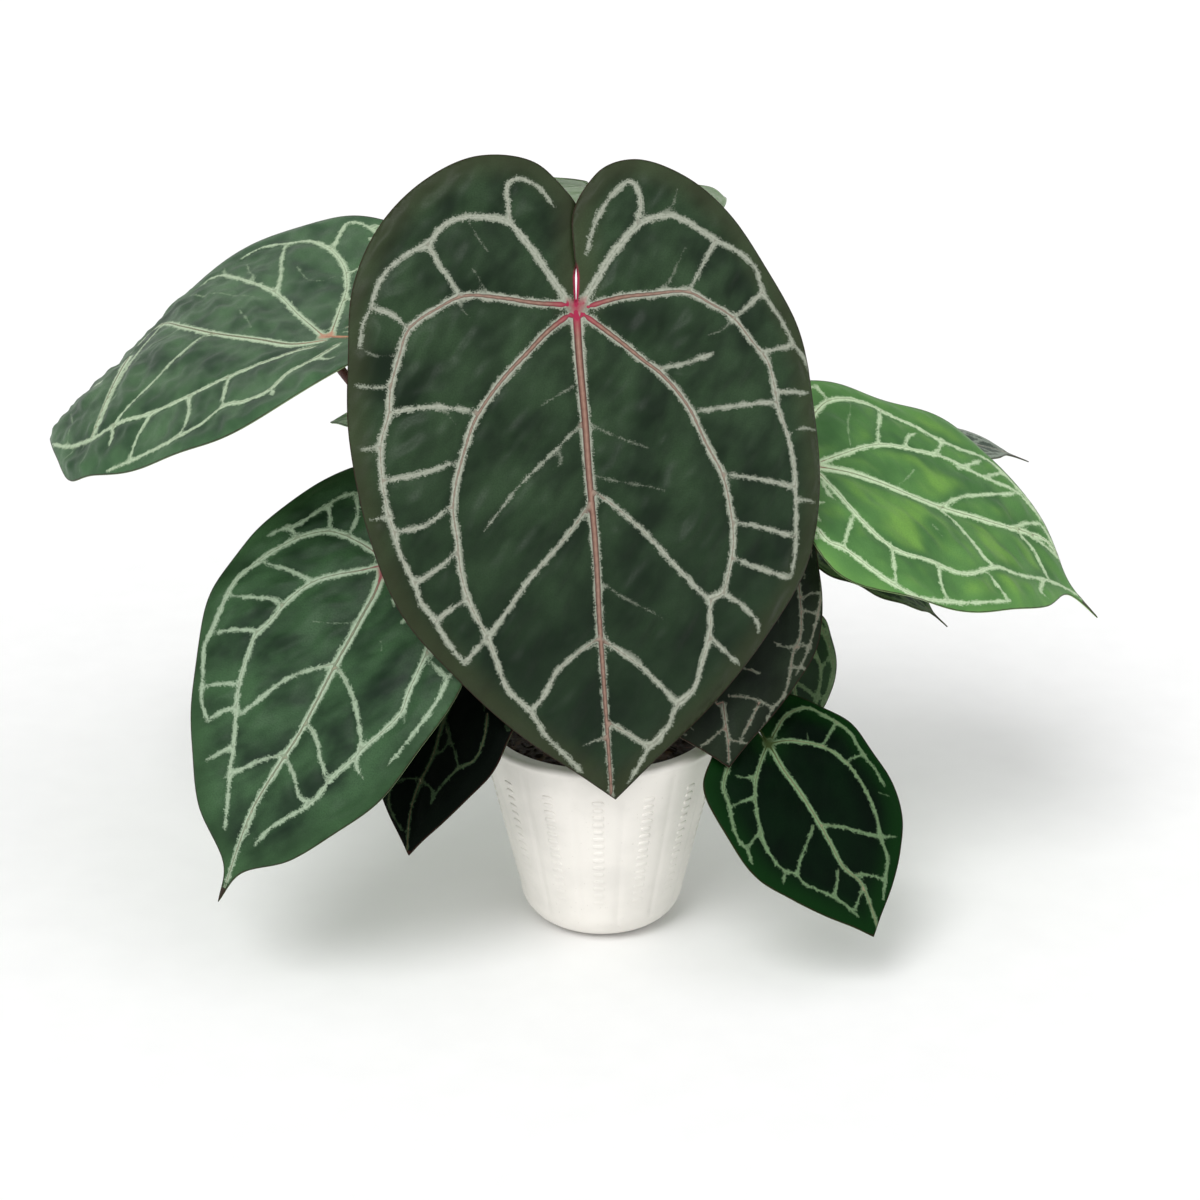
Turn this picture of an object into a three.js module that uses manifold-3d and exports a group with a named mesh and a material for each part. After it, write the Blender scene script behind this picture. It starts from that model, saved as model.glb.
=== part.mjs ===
// Potted anthurium hybrid: a crown of heart-shaped, net-veined leaves in a white ceramic pot.
// Millimetres, +Z up, the origin on the floor under the pot's axis, -Y towards the front leaf.

import * as THREE from 'three';
import { mergeVertices } from 'three/addons/utils/BufferGeometryUtils.js';
import Module from 'manifold-3d';

const wasm = await Module();
wasm.setup();

// Pot sizes
const POT_HEIGHT = 129;
const RIM_RADIUS = 75.5;
const LIP_WIDTH = 10;
const LIP_ROUND = 3;
const WALL_THICK = 5.5;
const FLOOR_THICK = 7;
const WALL_SLOPE = 0.23;
const BOTTOM_ROUND = 22;
const BOTTOM_STEPS = 5;
const FOOT_DRAW = 0.06;
const HOLLOW_SIDES = 32;
const HOLLOW_CORNER = 30;
const HOLLOW_DRAW = 14;
const PANELS = 14;
const PANEL_TURN = -2;
const DASH_WIDTH = 5.6;
const DASH_PITCH = 6;
const DASH_RELIEF = 0.9;
const DASH_TOP = 110;
const DASH_ROWS = 10;
const DASH_FADE_LOW = 24;
const DASH_FADE_HIGH = 60;
const CREASE_DEPTH = 0.5;

// Soil sizes
const SOIL_LEVEL = 114;
const SOIL_MOUND = 5;
const SOIL_RINGS = 6;
const SOIL_SPOKES = 20;
const SOIL_ROUGH = 1.6;
const FIT_GAP = 0.3;

// Crown and stalk sizes
const CROWN_RADIUS = 8;
const CROWN_SIDES = 14;
const SHEATHS = 4;
const SHEATH_RADIUS = 2.6;
const SHEATH_LENGTH = 24;
const SHEATH_LEAN = 9;
const CROWN_TOP = 142;
const BURIED = 12;
const SPROUT = 9;
const STALK_RING = 15.5;
const STALK_SIDES = 6;
const STALK_STEPS = 10;
const JOINT_SWELL = 1.35;
const JOINT_LENGTH = 16;
const JOINT_STRAIGHT = 6;
const FOOT_SWELL = 1.18;
const TOP_DRAW = 0.3;

// Blade sizes
const BLADE_THICK = 0.8;
const RIB_RELIEF = 1.2;
const RIB_BELOW = 0.7;
const NET_RELIEF = 0.5;
const PUFF_RELIEF = 2.3;
const FORM_STEPS = 72;
const LOBE_REACH = 0.42;
const TIP_REACH = 1.12;
const POINTED = 0.45;
const WAVE_TURNS = 17;

// The blade's net. Every line runs from the stalk's junction to the tip in the same 15 steps, so
// that equal steps are joined by the cross veins. x is a share of the half width, y of the length
// from junction to tip; the lobes lie at y < 0.
const MIDRIB = [
  [0, 0], [0, 0.012], [0, 0.028], [0, 0.05], [0, 0.08], [0, 0.115], [0, 0.16], [0, 0.22],
  [0, 0.3], [0, 0.39], [0, 0.49], [0, 0.59], [0, 0.69], [0, 0.79], [0, 0.9], [0, 1],
];
const INNER_VEIN = [
  [0, 0], [0.045, 0.008], [0.09, 0.022], [0.14, 0.045], [0.19, 0.072], [0.25, 0.105],
  [0.32, 0.145], [0.41, 0.205], [0.5, 0.28], [0.575, 0.37], [0.6, 0.465], [0.545, 0.57],
  [0.43, 0.69], [0.29, 0.8], [0.115, 0.91], [0, 1],
];
const OUTER_VEIN = [
  [0, 0], [0.055, -0.012], [0.115, -0.018], [0.19, -0.021], [0.28, -0.023], [0.38, -0.023],
  [0.5, -0.015], [0.63, 0.022], [0.75, 0.1], [0.84, 0.22], [0.885, 0.37], [0.83, 0.54],
  [0.6, 0.7], [0.375, 0.82], [0.15, 0.925], [0, 1],
];
const LOBE_VEIN = [
  [0, 0], [0.05, -0.035], [0.11, -0.085], [0.2, -0.135], [0.33, -0.175], [0.49, -0.165],
  [0.65, -0.115], [0.8, -0.025], [0.9, 0.1], [0.95, 0.24], [0.945, 0.4], [0.86, 0.57],
  [0.64, 0.72], [0.4, 0.83], [0.16, 0.935], [0, 1],
];
const MARGIN = [
  [0, 0], [0.01, -0.1], [0.025, -0.2], [0.13, -0.275], [0.33, -0.295], [0.55, -0.255],
  [0.74, -0.175], [0.88, -0.06], [0.965, 0.075], [1, 0.23], [0.99, 0.4], [0.9, 0.57],
  [0.69, 0.7], [0.43, 0.825], [0.15, 0.935], [0, 1],
];

// Each leaf: the junction's place, the way the tip points (heading 0 is the front, 90 the right)
// and pitches, the blade's roll, its bends in degrees over its length, the lift and curl of each
// half (right, left) and its sizes. lobes and fuller size the two lobes, slim draws the half in
// towards the tip, drip adds a thin tip, steps is how many rows of facets the blade has.
const PLAIN = {
  lobeArch: 10, twist: 0, sway: 0, sinusLean: 0, lift: [9, 9], curl: [-16, -16],
  lobes: [1, 1], fuller: [1, 1], slim: [0, 0], drip: 0, neck: 38, wave: 1, fine: false,
};
const LEAVES = [
  {
    ...PLAIN, name: 'front', junction: [-15, -12, 399], heading: 13, pitch: -65, roll: -4,
    arch: [14, 10], lobeArch: 12, sway: 4, sinusLean: 0.1, lift: [7, 7], curl: [-22, -22],
    length: 295, halfWidth: [145, 140], lobes: [0.96, 1.03], fuller: [0.93, 1.07],
    slim: [0, 0.06], stalk: 3.6, steps: 24, fine: true, wave: 1.5, color: 0x24382b,
  },
  {
    ...PLAIN, name: 'upper_left', junction: [-164, 27, 368], heading: -135, pitch: -11, roll: -7,
    arch: [-21, 80], lobeArch: 0, twist: -18, sway: 16, lift: [0, 3], curl: [-33, 8],
    length: 285, halfWidth: [124, 138], lobes: [0.8, 1], slim: [-0.07, -0.04],
    stalk: 3.2, steps: 22, fine: true, wave: 2, color: 0x3f6b45,
  },
  {
    ...PLAIN, name: 'low_left', junction: [-127, -32, 242], heading: -40, pitch: -44, roll: -10,
    arch: [22, 0], lobeArch: 12, sway: -8, length: 214, halfWidth: [82, 101],
    fuller: [1, 0.92], slim: [0.06, 0.17], drip: 7,
    stalk: 3.1, steps: 20, fine: true, wave: 2, color: 0x2f5a36,
  },
  {
    ...PLAIN, name: 'under_left', junction: [-74, -36, 202], heading: -34, pitch: -44, roll: 3,
    arch: [22, 0], lobeArch: 12, sway: 3, curl: [-15, -15], length: 138, halfWidth: [52, 50],
    lobes: [0.8, 0.7], fuller: [1, 0.6],
    stalk: 2.6, steps: 18, color: 0x0b170f,
  },
  {
    ...PLAIN, name: 'right', junction: [127, 56, 277], heading: 93, pitch: -14, roll: 19,
    arch: [28, 4], sway: -4, lift: [9, 6], curl: [-14, -20], length: 206, halfWidth: [88, 95],
    fuller: [1, 0.69], lobes: [1, 0.38],
    slim: [-0.05, 0.07], drip: 16, stalk: 3.1, steps: 20, fine: true, wave: 2, color: 0x5c9a48,
  },
  {
    ...PLAIN, name: 'behind_right', junction: [56, 0, 263], heading: 11, pitch: -74, roll: 1,
    arch: [-25, 0], sway: 5, lift: [8, 8], length: 152, halfWidth: [74, 72],
    fuller: [0.75, 1], lobes: [0.6, 1],
    stalk: 2.8,
    steps: 18, wave: 1.5, color: 0x2a2e27,
  },
  {
    ...PLAIN, name: 'low_right', junction: [99, -38, 133], heading: 40, pitch: -37, roll: 5,
    arch: [17, 0], lobeArch: 34, twist: 3, sway: 1, lift: [9, 8], curl: [-14, -15],
    length: 134, halfWidth: [62, 60], lobes: [0.75, 0.5], fuller: [0.85, 0.7],
    neck: 8, stalk: 2.6, steps: 18, color: 0x10301a,
  },
  {
    ...PLAIN, name: 'back_right', junction: [158, 156, 256], heading: 98, pitch: 6, roll: 5,
    arch: [24, 6], length: 118, halfWidth: [30, 42], drip: 8, stalk: 2.6, steps: 15, color: 0x4a5a4a,
  },
  {
    ...PLAIN, name: 'under_right', junction: [136, 80, 210], heading: 82, pitch: -14, roll: 3,
    arch: [28, 0], length: 88, halfWidth: [38, 28], lobes: [0.6, 0.6], fuller: [1, 0.8],
    drip: 8, stalk: 2.3, steps: 14,
    color: 0x234c2c,
  },
  {
    ...PLAIN, name: 'small_right', junction: [109, 30, 186], heading: 30, pitch: -60, roll: 0,
    arch: [18, 0], length: 78, halfWidth: [34, 34], lobes: [0.6, 1], fuller: [0.6, 1],
    stalk: 2.2, steps: 14, wave: 0.8,
    color: 0x3d7a45,
  },
  {
    ...PLAIN, name: 'top_back', junction: [-6, 92, 443], heading: 176, pitch: -20, roll: 0,
    arch: [12, 0], lobeArch: 6, lift: [3, 3], curl: [-8, -8], length: 160, halfWidth: [80, 80],
    stalk: 2.8, steps: 15, color: 0x6f9a68,
  },
  {
    ...PLAIN, name: 'back_left', junction: [-58, 78, 299], heading: -104, pitch: 7, roll: -3,
    arch: [26, 0], lobeArch: 8, length: 118, halfWidth: [54, 54], stalk: 2.5, steps: 15,
    color: 0x7a9a70,
  },
];

const radians = THREE.MathUtils.degToRad;

// Geometry helpers
function meshGeometry(positions, triangles) {
  const geometry = new THREE.BufferGeometry();
  geometry.setAttribute('position', new THREE.Float32BufferAttribute(positions, 3));
  geometry.setIndex(triangles);
  return geometry;
}

function toSolid(geometry) {
  const bare = geometry.clone();
  bare.deleteAttribute('normal');
  bare.deleteAttribute('uv');
  const merged = mergeVertices(bare, 1e-4);
  const vertProperties = new Float32Array(merged.attributes.position.array);
  const triVerts = new Uint32Array(merged.index.array);
  return new wasm.Manifold(new wasm.Mesh({ numProp: 3, vertProperties, triVerts }));
}

function toGeometry(solid) {
  const { vertProperties, triVerts } = solid.getMesh();
  return meshGeometry(Array.from(vertProperties), Array.from(triVerts));
}

function uprightCylinder(radius, low, high, sides, x = 0, y = 0) {
  const cylinder = new THREE.CylinderGeometry(radius, radius, high - low, sides);
  cylinder.rotateX(Math.PI / 2);
  cylinder.translate(x, y, (low + high) / 2);
  return cylinder;
}

function addMesh(group, name, geometry, color, roughness) {
  const material = new THREE.MeshStandardMaterial({ color, roughness, metalness: 0 });
  const mesh = new THREE.Mesh(geometry, material);
  mesh.name = name;
  group.add(mesh);
}

function smoothLine(points) {
  const places = points.map(([x, y]) => new THREE.Vector3(x, y, 0));
  return new THREE.CatmullRomCurve3(places, false, 'centripetal');
}

// A blade's curved form: flat leaf places (u across, v towards the tip) become points in space.
class BladeForm {
  constructor(leaf) {
    this.leaf = leaf;
    this.low = -LOBE_REACH * leaf.length;
    this.step = (leaf.length * (TIP_REACH + LOBE_REACH)) / FORM_STEPS;
    this.stations = this.layMidrib();
  }

  // The tip direction, the blade's right and its upper normal at the junction.
  startFrame() {
    const { heading, pitch, roll } = this.leaf;
    const h = radians(heading);
    const p = radians(pitch);
    const tip = new THREE.Vector3(
      Math.sin(h) * Math.cos(p), -Math.cos(h) * Math.cos(p), Math.sin(p),
    );
    const right = new THREE.Vector3(0, 0, 1).cross(tip).normalize();
    right.applyAxisAngle(tip, radians(roll));
    const up = tip.clone().cross(right);
    return { tip, right, up };
  }

  // The direction of the midrib at v, after the arch and the sway.
  tipAt(v, frame) {
    const { length, arch, lobeArch, sway } = this.leaf;
    const f = v / length;
    const bend = radians(f > 0 ? arch[0] * f + arch[1] * f * f : lobeArch * f);
    const turn = radians(f > 0 ? sway * f : 0);
    return frame.tip.clone().multiplyScalar(Math.cos(bend) * Math.cos(turn))
      .addScaledVector(frame.right, Math.sin(turn))
      .addScaledVector(frame.up, -Math.sin(bend) * Math.cos(turn));
  }

  layMidrib() {
    const start = this.startFrame();
    const stations = [];
    const place = new THREE.Vector3();
    let last = null;
    for (let i = 0; i <= FORM_STEPS; i += 1) {
      const v = this.low + i * this.step;
      const tip = this.tipAt(v, start);
      if (last) place.addScaledVector(last.clone().add(tip), this.step / 2);
      last = tip;
      const right = start.right.clone();
      right.addScaledVector(tip, -right.dot(tip)).normalize();
      right.applyAxisAngle(tip, radians((this.leaf.twist * v) / this.leaf.length));
      stations.push({ place: place.clone(), tip, right, up: tip.clone().cross(right) });
    }
    const shift = this.blend(stations, 0, 'place').negate();
    shift.add(new THREE.Vector3(...this.leaf.junction));
    stations.forEach((station) => station.place.add(shift));
    return stations;
  }

  blend(stations, v, key) {
    const x = THREE.MathUtils.clamp((v - this.low) / this.step, 0, FORM_STEPS - 1e-6);
    const i = Math.floor(x);
    return stations[i][key].clone().lerp(stations[i + 1][key], x - i);
  }

  // The wave of the blade's rim, which dies out towards the midrib.
  rimWave(u, v) {
    const { halfWidth, length, wave } = this.leaf;
    const share = Math.abs(u) / (u > 0 ? halfWidth[0] : halfWidth[1]);
    return wave * share ** 3 * Math.sin((v / length) * WAVE_TURNS + (u > 0 ? 0.6 : 2.4));
  }

  place(u, v) {
    const { halfWidth, lift, curl } = this.leaf;
    const side = u > 0 ? 0 : 1;
    const base = this.blend(this.stations, v, 'place');
    const right = this.blend(this.stations, v, 'right');
    const up = this.blend(this.stations, v, 'up');
    const reach = halfWidth[side];
    const rise = radians(lift[side]);
    const bend = radians(curl[side]) || 1e-4;
    const end = rise + (bend * Math.abs(u)) / reach;
    const across = ((Math.sin(end) - Math.sin(rise)) / bend) * reach;
    const height = ((Math.cos(rise) - Math.cos(end)) / bend) * reach;
    return base.addScaledVector(right, Math.sign(u) * across)
      .addScaledVector(up, height + this.rimWave(u, v));
  }

  normal(u, v) {
    const h = 1;
    const along = this.place(u, v + h).sub(this.place(u, v - h));
    const across = this.place(u + h, v).sub(this.place(u - h, v));
    return along.cross(across).normalize();
  }
}

// One half of a leaf's net in millimetres, as smooth lines with their relief.
function netLines(leaf, side) {
  const lines = [
    { points: MIDRIB, relief: RIB_RELIEF },
    { points: INNER_VEIN, relief: RIB_RELIEF },
    { points: OUTER_VEIN, relief: RIB_RELIEF * 0.8 },
    { points: LOBE_VEIN, relief: leaf.fine ? RIB_RELIEF * 0.6 : 0 },
    { points: (leaf.margins && leaf.margins[side]) || MARGIN, relief: 0 },
  ];
  const sign = side === 0 ? 1 : -1;
  return lines.map(({ points, relief }) => {
    const sized = points.map(([x, y], row) => {
      const wide = 1 + (leaf.fuller[side] - 1) * THREE.MathUtils.clamp((0.1 - y) / 0.2, 0, 1);
      const along = THREE.MathUtils.clamp(y * 1.4 - 0.4, 0, 1);
      const drawn = 1 - leaf.slim[side] * Math.sin(Math.PI * along);
      const pointed = leaf.drip > 0 && row === points.length - 2 ? POINTED : 1;
      const v = y * leaf.length * (y < 0 ? leaf.lobes[side] : 1);
      const dripped = row === points.length - 1 ? leaf.drip : 0;
      const lean = y < 0 ? -leaf.sinusLean * v * Math.max(0, 1 - x / 0.3) : 0;
      return [sign * x * wide * drawn * pointed * leaf.halfWidth[side] + lean, v + dripped];
    });
    return { line: smoothLine(sized), relief };
  });
}

// The columns of the solid blade: the net's lines, and puffed lines between them.
function bladeColumns(leaf, side) {
  const lines = netLines(leaf, side);
  const columns = [];
  lines.forEach(({ line, relief }, i) => {
    columns.push({ at: (t) => line.getPoint(t), relief });
    const puffed = i < (leaf.fine ? 2 : 1);
    if (!puffed) return;
    const next = lines[i + 1].line;
    const at = (t) => line.getPoint(t).lerp(next.getPoint(t), 0.5);
    columns.push({ at, relief: -1 });
  });
  return columns;
}

// The height of the upper face over the plain form, and of the lower face under it.
function reliefAt(column, row, steps) {
  const fade = Math.sin((Math.PI * row) / steps) ** 0.5;
  const cross = row % 2 === 0;
  if (column.relief < 0) return fade * (cross ? NET_RELIEF : PUFF_RELIEF);
  return column.relief * Math.max(fade, 0.35);
}

function bladeGeometry(leaf) {
  const form = new BladeForm(leaf);
  const positions = [];
  const triangles = [];
  const count = { points: 0 };

  // Every place of the net gets one vertex on the upper face and one on the lower.
  function addPlace(u, v, relief, puffed = false) {
    const place = form.place(u, v);
    const normal = form.normal(u, v);
    const isRib = relief > 0 && !puffed;
    const top = place.clone().addScaledVector(normal, relief);
    const below = isRib ? -BLADE_THICK - RIB_BELOW : relief - BLADE_THICK;
    const low = place.clone().addScaledVector(normal, below);
    positions.push(top.x, top.y, top.z, low.x, low.y, low.z);
    count.points += 1;
    return count.points - 1;
  }

  function addFacet(a, b, c) {
    triangles.push(2 * a, 2 * b, 2 * c, 2 * a + 1, 2 * c + 1, 2 * b + 1);
  }

  function addWall(a, b) {
    triangles.push(2 * a, 2 * a + 1, 2 * b + 1, 2 * a, 2 * b + 1, 2 * b);
  }

  const junction = addPlace(0, 0, RIB_RELIEF);
  const tip = addPlace(0, leaf.length + leaf.drip, 0);
  const rows = leaf.steps;
  const midrib = [];
  for (let row = 1; row < rows; row += 1) {
    const place = smoothLine(MIDRIB).getPoint(row / rows);
    midrib.push(addPlace(0, place.y * leaf.length, RIB_RELIEF * (1 - 0.5 * (row / rows))));
  }

  for (let side = 0; side < 2; side += 1) {
    const columns = bladeColumns(leaf, side);
    const grid = [[junction, ...midrib, tip]];
    for (let c = 1; c < columns.length; c += 1) {
      const line = [junction];
      for (let row = 1; row < rows; row += 1) {
        const { x, y } = columns[c].at(row / rows);
        line.push(addPlace(x, y, reliefAt(columns[c], row, rows), columns[c].relief < 0));
      }
      line.push(tip);
      grid.push(line);
    }
    for (let c = 0; c + 1 < grid.length; c += 1) {
      for (let row = 0; row < rows; row += 1) {
        const corners = [grid[c][row], grid[c + 1][row], grid[c + 1][row + 1], grid[c][row + 1]];
        if (side === 0) corners.reverse();
        const [p, q, r, s] = corners;
        if (row > 0 && row < rows - 1) {
          addFacet(p, q, r);
          addFacet(p, r, s);
        } else if (row === 0) {
          addFacet(...(side === 0 ? [p, q, r] : [p, r, s]));
        } else {
          addFacet(...(side === 0 ? [q, r, s] : [p, q, s]));
        }
      }
    }
    const rim = grid[grid.length - 1];
    for (let row = 0; row < rows; row += 1) {
      if (side === 0) addWall(rim[row + 1], rim[row]);
      else addWall(rim[row], rim[row + 1]);
    }
  }
  return meshGeometry(positions, triangles);
}

// The curve of a leaf's stalk, from its hole in the soil to the underside of the junction.
function stalkCurve(leaf, index) {
  const form = new BladeForm(leaf);
  const angle = stalkAngle(index);
  const foot = new THREE.Vector3(
    STALK_RING * Math.cos(angle), STALK_RING * Math.sin(angle), SOIL_LEVEL - BURIED,
  );
  const up = new THREE.Vector3(0, 0, 1);
  const sprout = foot.clone().addScaledVector(up, BURIED + SPROUT);
  const normal = form.normal(0, 0);
  const below = BLADE_THICK + RIB_BELOW + FIT_GAP;
  const end = new THREE.Vector3(...leaf.junction).addScaledVector(normal, -below);
  const reach = end.distanceTo(sprout);
  const neck = end.clone().addScaledVector(normal, -JOINT_STRAIGHT);
  const curve = new THREE.CurvePath();
  curve.add(new THREE.LineCurve3(foot, sprout));
  curve.add(new THREE.CubicBezierCurve3(
    sprout,
    sprout.clone().addScaledVector(up, reach * 0.4),
    neck.clone().addScaledVector(normal, -Math.min(0.25 * reach, leaf.neck)),
    neck,
  ));
  curve.add(new THREE.LineCurve3(neck, end));
  return curve;
}

// The stalks' feet stand round the crown in the order of their leaves' directions.
function stalkAngle(index) {
  const bearing = (leaf) => Math.atan2(leaf.junction[1], leaf.junction[0]);
  const order = LEAVES.map((leaf, i) => i).sort((a, b) => bearing(LEAVES[a]) - bearing(LEAVES[b]));
  const share = order.indexOf(index) / LEAVES.length;
  return bearing(LEAVES[order[0]]) + share * 2 * Math.PI;
}

// A round tube with its own rings: thicker at its foot and at the joint under the blade.
function stalkGeometry(leaf, index) {
  const curve = stalkCurve(leaf, index);
  const total = curve.getLength();
  const positions = [];
  const triangles = [];
  const side = new THREE.Vector3(1, 0, 0);
  const shares = [0, ...Array.from({ length: STALK_STEPS }, (_, i) => (
    (BURIED + (i / STALK_STEPS) * (total - BURIED - JOINT_LENGTH)) / total
  ))];
  shares.push(1 - JOINT_LENGTH / total, 1 - JOINT_LENGTH / total / 2, 1 - 2 / total, 1);
  shares.forEach((share) => {
    const place = curve.getPointAt(share);
    const along = curve.getTangentAt(share);
    side.addScaledVector(along, -side.dot(along)).normalize();
    const other = along.clone().cross(side);
    const left = (1 - share) * total;
    const taper = leaf.stalk * (FOOT_SWELL - TOP_DRAW * share);
    const radius = taper * (left < JOINT_LENGTH * 0.9 && share < 1 ? JOINT_SWELL : 1);
    for (let k = 0; k < STALK_SIDES; k += 1) {
      const a = (2 * Math.PI * k) / STALK_SIDES;
      const point = place.clone().addScaledVector(side, radius * Math.cos(a))
        .addScaledVector(other, radius * Math.sin(a));
      positions.push(point.x, point.y, point.z);
    }
  });
  const rings = shares.length;
  for (let ring = 0; ring + 1 < rings; ring += 1) {
    for (let k = 0; k < STALK_SIDES; k += 1) {
      const next = (k + 1) % STALK_SIDES;
      const a = ring * STALK_SIDES + k;
      const b = ring * STALK_SIDES + next;
      triangles.push(a, b, b + STALK_SIDES, a, b + STALK_SIDES, a + STALK_SIDES);
    }
  }
  const last = (rings - 1) * STALK_SIDES;
  for (let k = 1; k + 1 < STALK_SIDES; k += 1) {
    triangles.push(0, k + 1, k, last, last + k, last + k + 1);
  }
  return meshGeometry(positions, triangles);
}

// The pot's outer radius at a height, before the ornament.
function potRadius(z) {
  if (z > BOTTOM_ROUND) return RIM_RADIUS - (POT_HEIGHT - z) * WALL_SLOPE;
  const corner = RIM_RADIUS - (POT_HEIGHT - BOTTOM_ROUND) * WALL_SLOPE;
  const drop = BOTTOM_ROUND - z;
  const round = Math.sqrt(Math.max(BOTTOM_ROUND ** 2 - drop ** 2, 0));
  return corner - BOTTOM_ROUND + round - drop * FOOT_DRAW;
}

function innerRadius(z) {
  return potRadius(Math.max(z, BOTTOM_ROUND)) - WALL_THICK;
}

// The ornament: columns of raised dashes at the panels' middles, with creases between panels.
function potOrnament(part, z, onDash) {
  const fade = THREE.MathUtils.smoothstep(z, DASH_FADE_LOW, DASH_FADE_HIGH);
  if (part === 'crease') return -CREASE_DEPTH;
  return part === 'dash' && onDash ? DASH_RELIEF * fade : 0;
}

function potGeometry() {
  const dashLow = DASH_TOP - DASH_ROWS * DASH_PITCH;
  const rows = [];
  for (let i = 0; i <= BOTTOM_STEPS; i += 1) {
    const a = (Math.PI / 2) * (i / BOTTOM_STEPS);
    rows.push({ z: BOTTOM_ROUND * (1 - Math.cos(a)), dash: 'none' });
  }
  for (let i = 0; i < DASH_ROWS; i += 1) {
    const z = dashLow + i * DASH_PITCH;
    rows.push({ z: z + 0.5, dash: 'off' }, { z: z + DASH_PITCH * 0.5, dash: 'on' });
  }
  rows.push({ z: DASH_TOP + 0.5, dash: 'off' }, { z: POT_HEIGHT - LIP_ROUND - 3, dash: 'none' });
  const outline = rows.map(({ z, dash }) => ({ radius: potRadius(z), z, dash }));
  outline.push({ radius: RIM_RADIUS - LIP_ROUND * 0.1, z: POT_HEIGHT - LIP_ROUND, dash: 'none' });
  outline.push({
    radius: RIM_RADIUS - LIP_ROUND * 0.3, z: POT_HEIGHT - LIP_ROUND * 0.3, dash: 'none',
  });
  outline.push({ radius: RIM_RADIUS - LIP_ROUND, z: POT_HEIGHT, dash: 'none' });

  const positions = [];
  const triangles = [];
  const spokes = [];
  for (let panel = 0; panel < PANELS; panel += 1) {
    const middle = (panel * 2 * Math.PI) / PANELS + radians(PANEL_TURN) - Math.PI / 2;
    const flank = (DASH_WIDTH / 2 + 1.3) / potRadius(DASH_TOP / 2);
    spokes.push({ angle: middle - Math.PI / PANELS, part: 'crease' });
    spokes.push({ angle: middle - flank, part: 'flank' });
    spokes.push({ angle: middle, part: 'dash' });
    spokes.push({ angle: middle + flank, part: 'flank' });
  }
  outline.forEach(({ radius, z, dash }) => {
    spokes.forEach(({ angle, part }) => {
      const relief = dash === 'none' ? 0 : potOrnament(part, z, dash === 'on');
      const r = radius + relief;
      positions.push(r * Math.cos(angle), r * Math.sin(angle), z);
    });
  });
  const around = spokes.length;
  const rings = outline.length;
  const floor = positions.length / 3;
  positions.push(0, 0, 0, 0, 0, POT_HEIGHT);
  for (let k = 0; k < around; k += 1) {
    const next = (k + 1) % around;
    triangles.push(floor, next, k);
    for (let ring = 0; ring + 1 < rings; ring += 1) {
      const a = ring * around + k;
      const b = ring * around + next;
      triangles.push(a, b, b + around, a, b + around, a + around);
    }
    const top = (rings - 1) * around;
    triangles.push(top + k, top + next, floor + 1);
  }
  const body = toSolid(meshGeometry(positions, triangles));
  return toGeometry(body.subtract(toSolid(potHollow())));
}

// The pot's inside.
function potHollow() {
  const shoulder = POT_HEIGHT - 8;
  const profile = [
    [0, FLOOR_THICK], [innerRadius(HOLLOW_CORNER) - HOLLOW_DRAW, FLOOR_THICK],
    [innerRadius(HOLLOW_CORNER), HOLLOW_CORNER], [innerRadius(shoulder), shoulder],
    [RIM_RADIUS - LIP_WIDTH, POT_HEIGHT - LIP_ROUND],
    [RIM_RADIUS - LIP_WIDTH + LIP_ROUND, POT_HEIGHT],
    [RIM_RADIUS - LIP_WIDTH + LIP_ROUND, POT_HEIGHT + 5], [0, POT_HEIGHT + 5],
  ];
  const places = profile.map(([x, y]) => new THREE.Vector2(x, y));
  const hollow = new THREE.LatheGeometry(places, HOLLOW_SIDES);
  hollow.rotateX(Math.PI / 2);
  return hollow;
}

// Repeatable lumps for the soil's top.
function lumps(i, k) {
  const x = Math.sin(i * 12.9898 + k * 78.233) * 43758.5453;
  return (x - Math.floor(x)) * 2 - 1;
}

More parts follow.
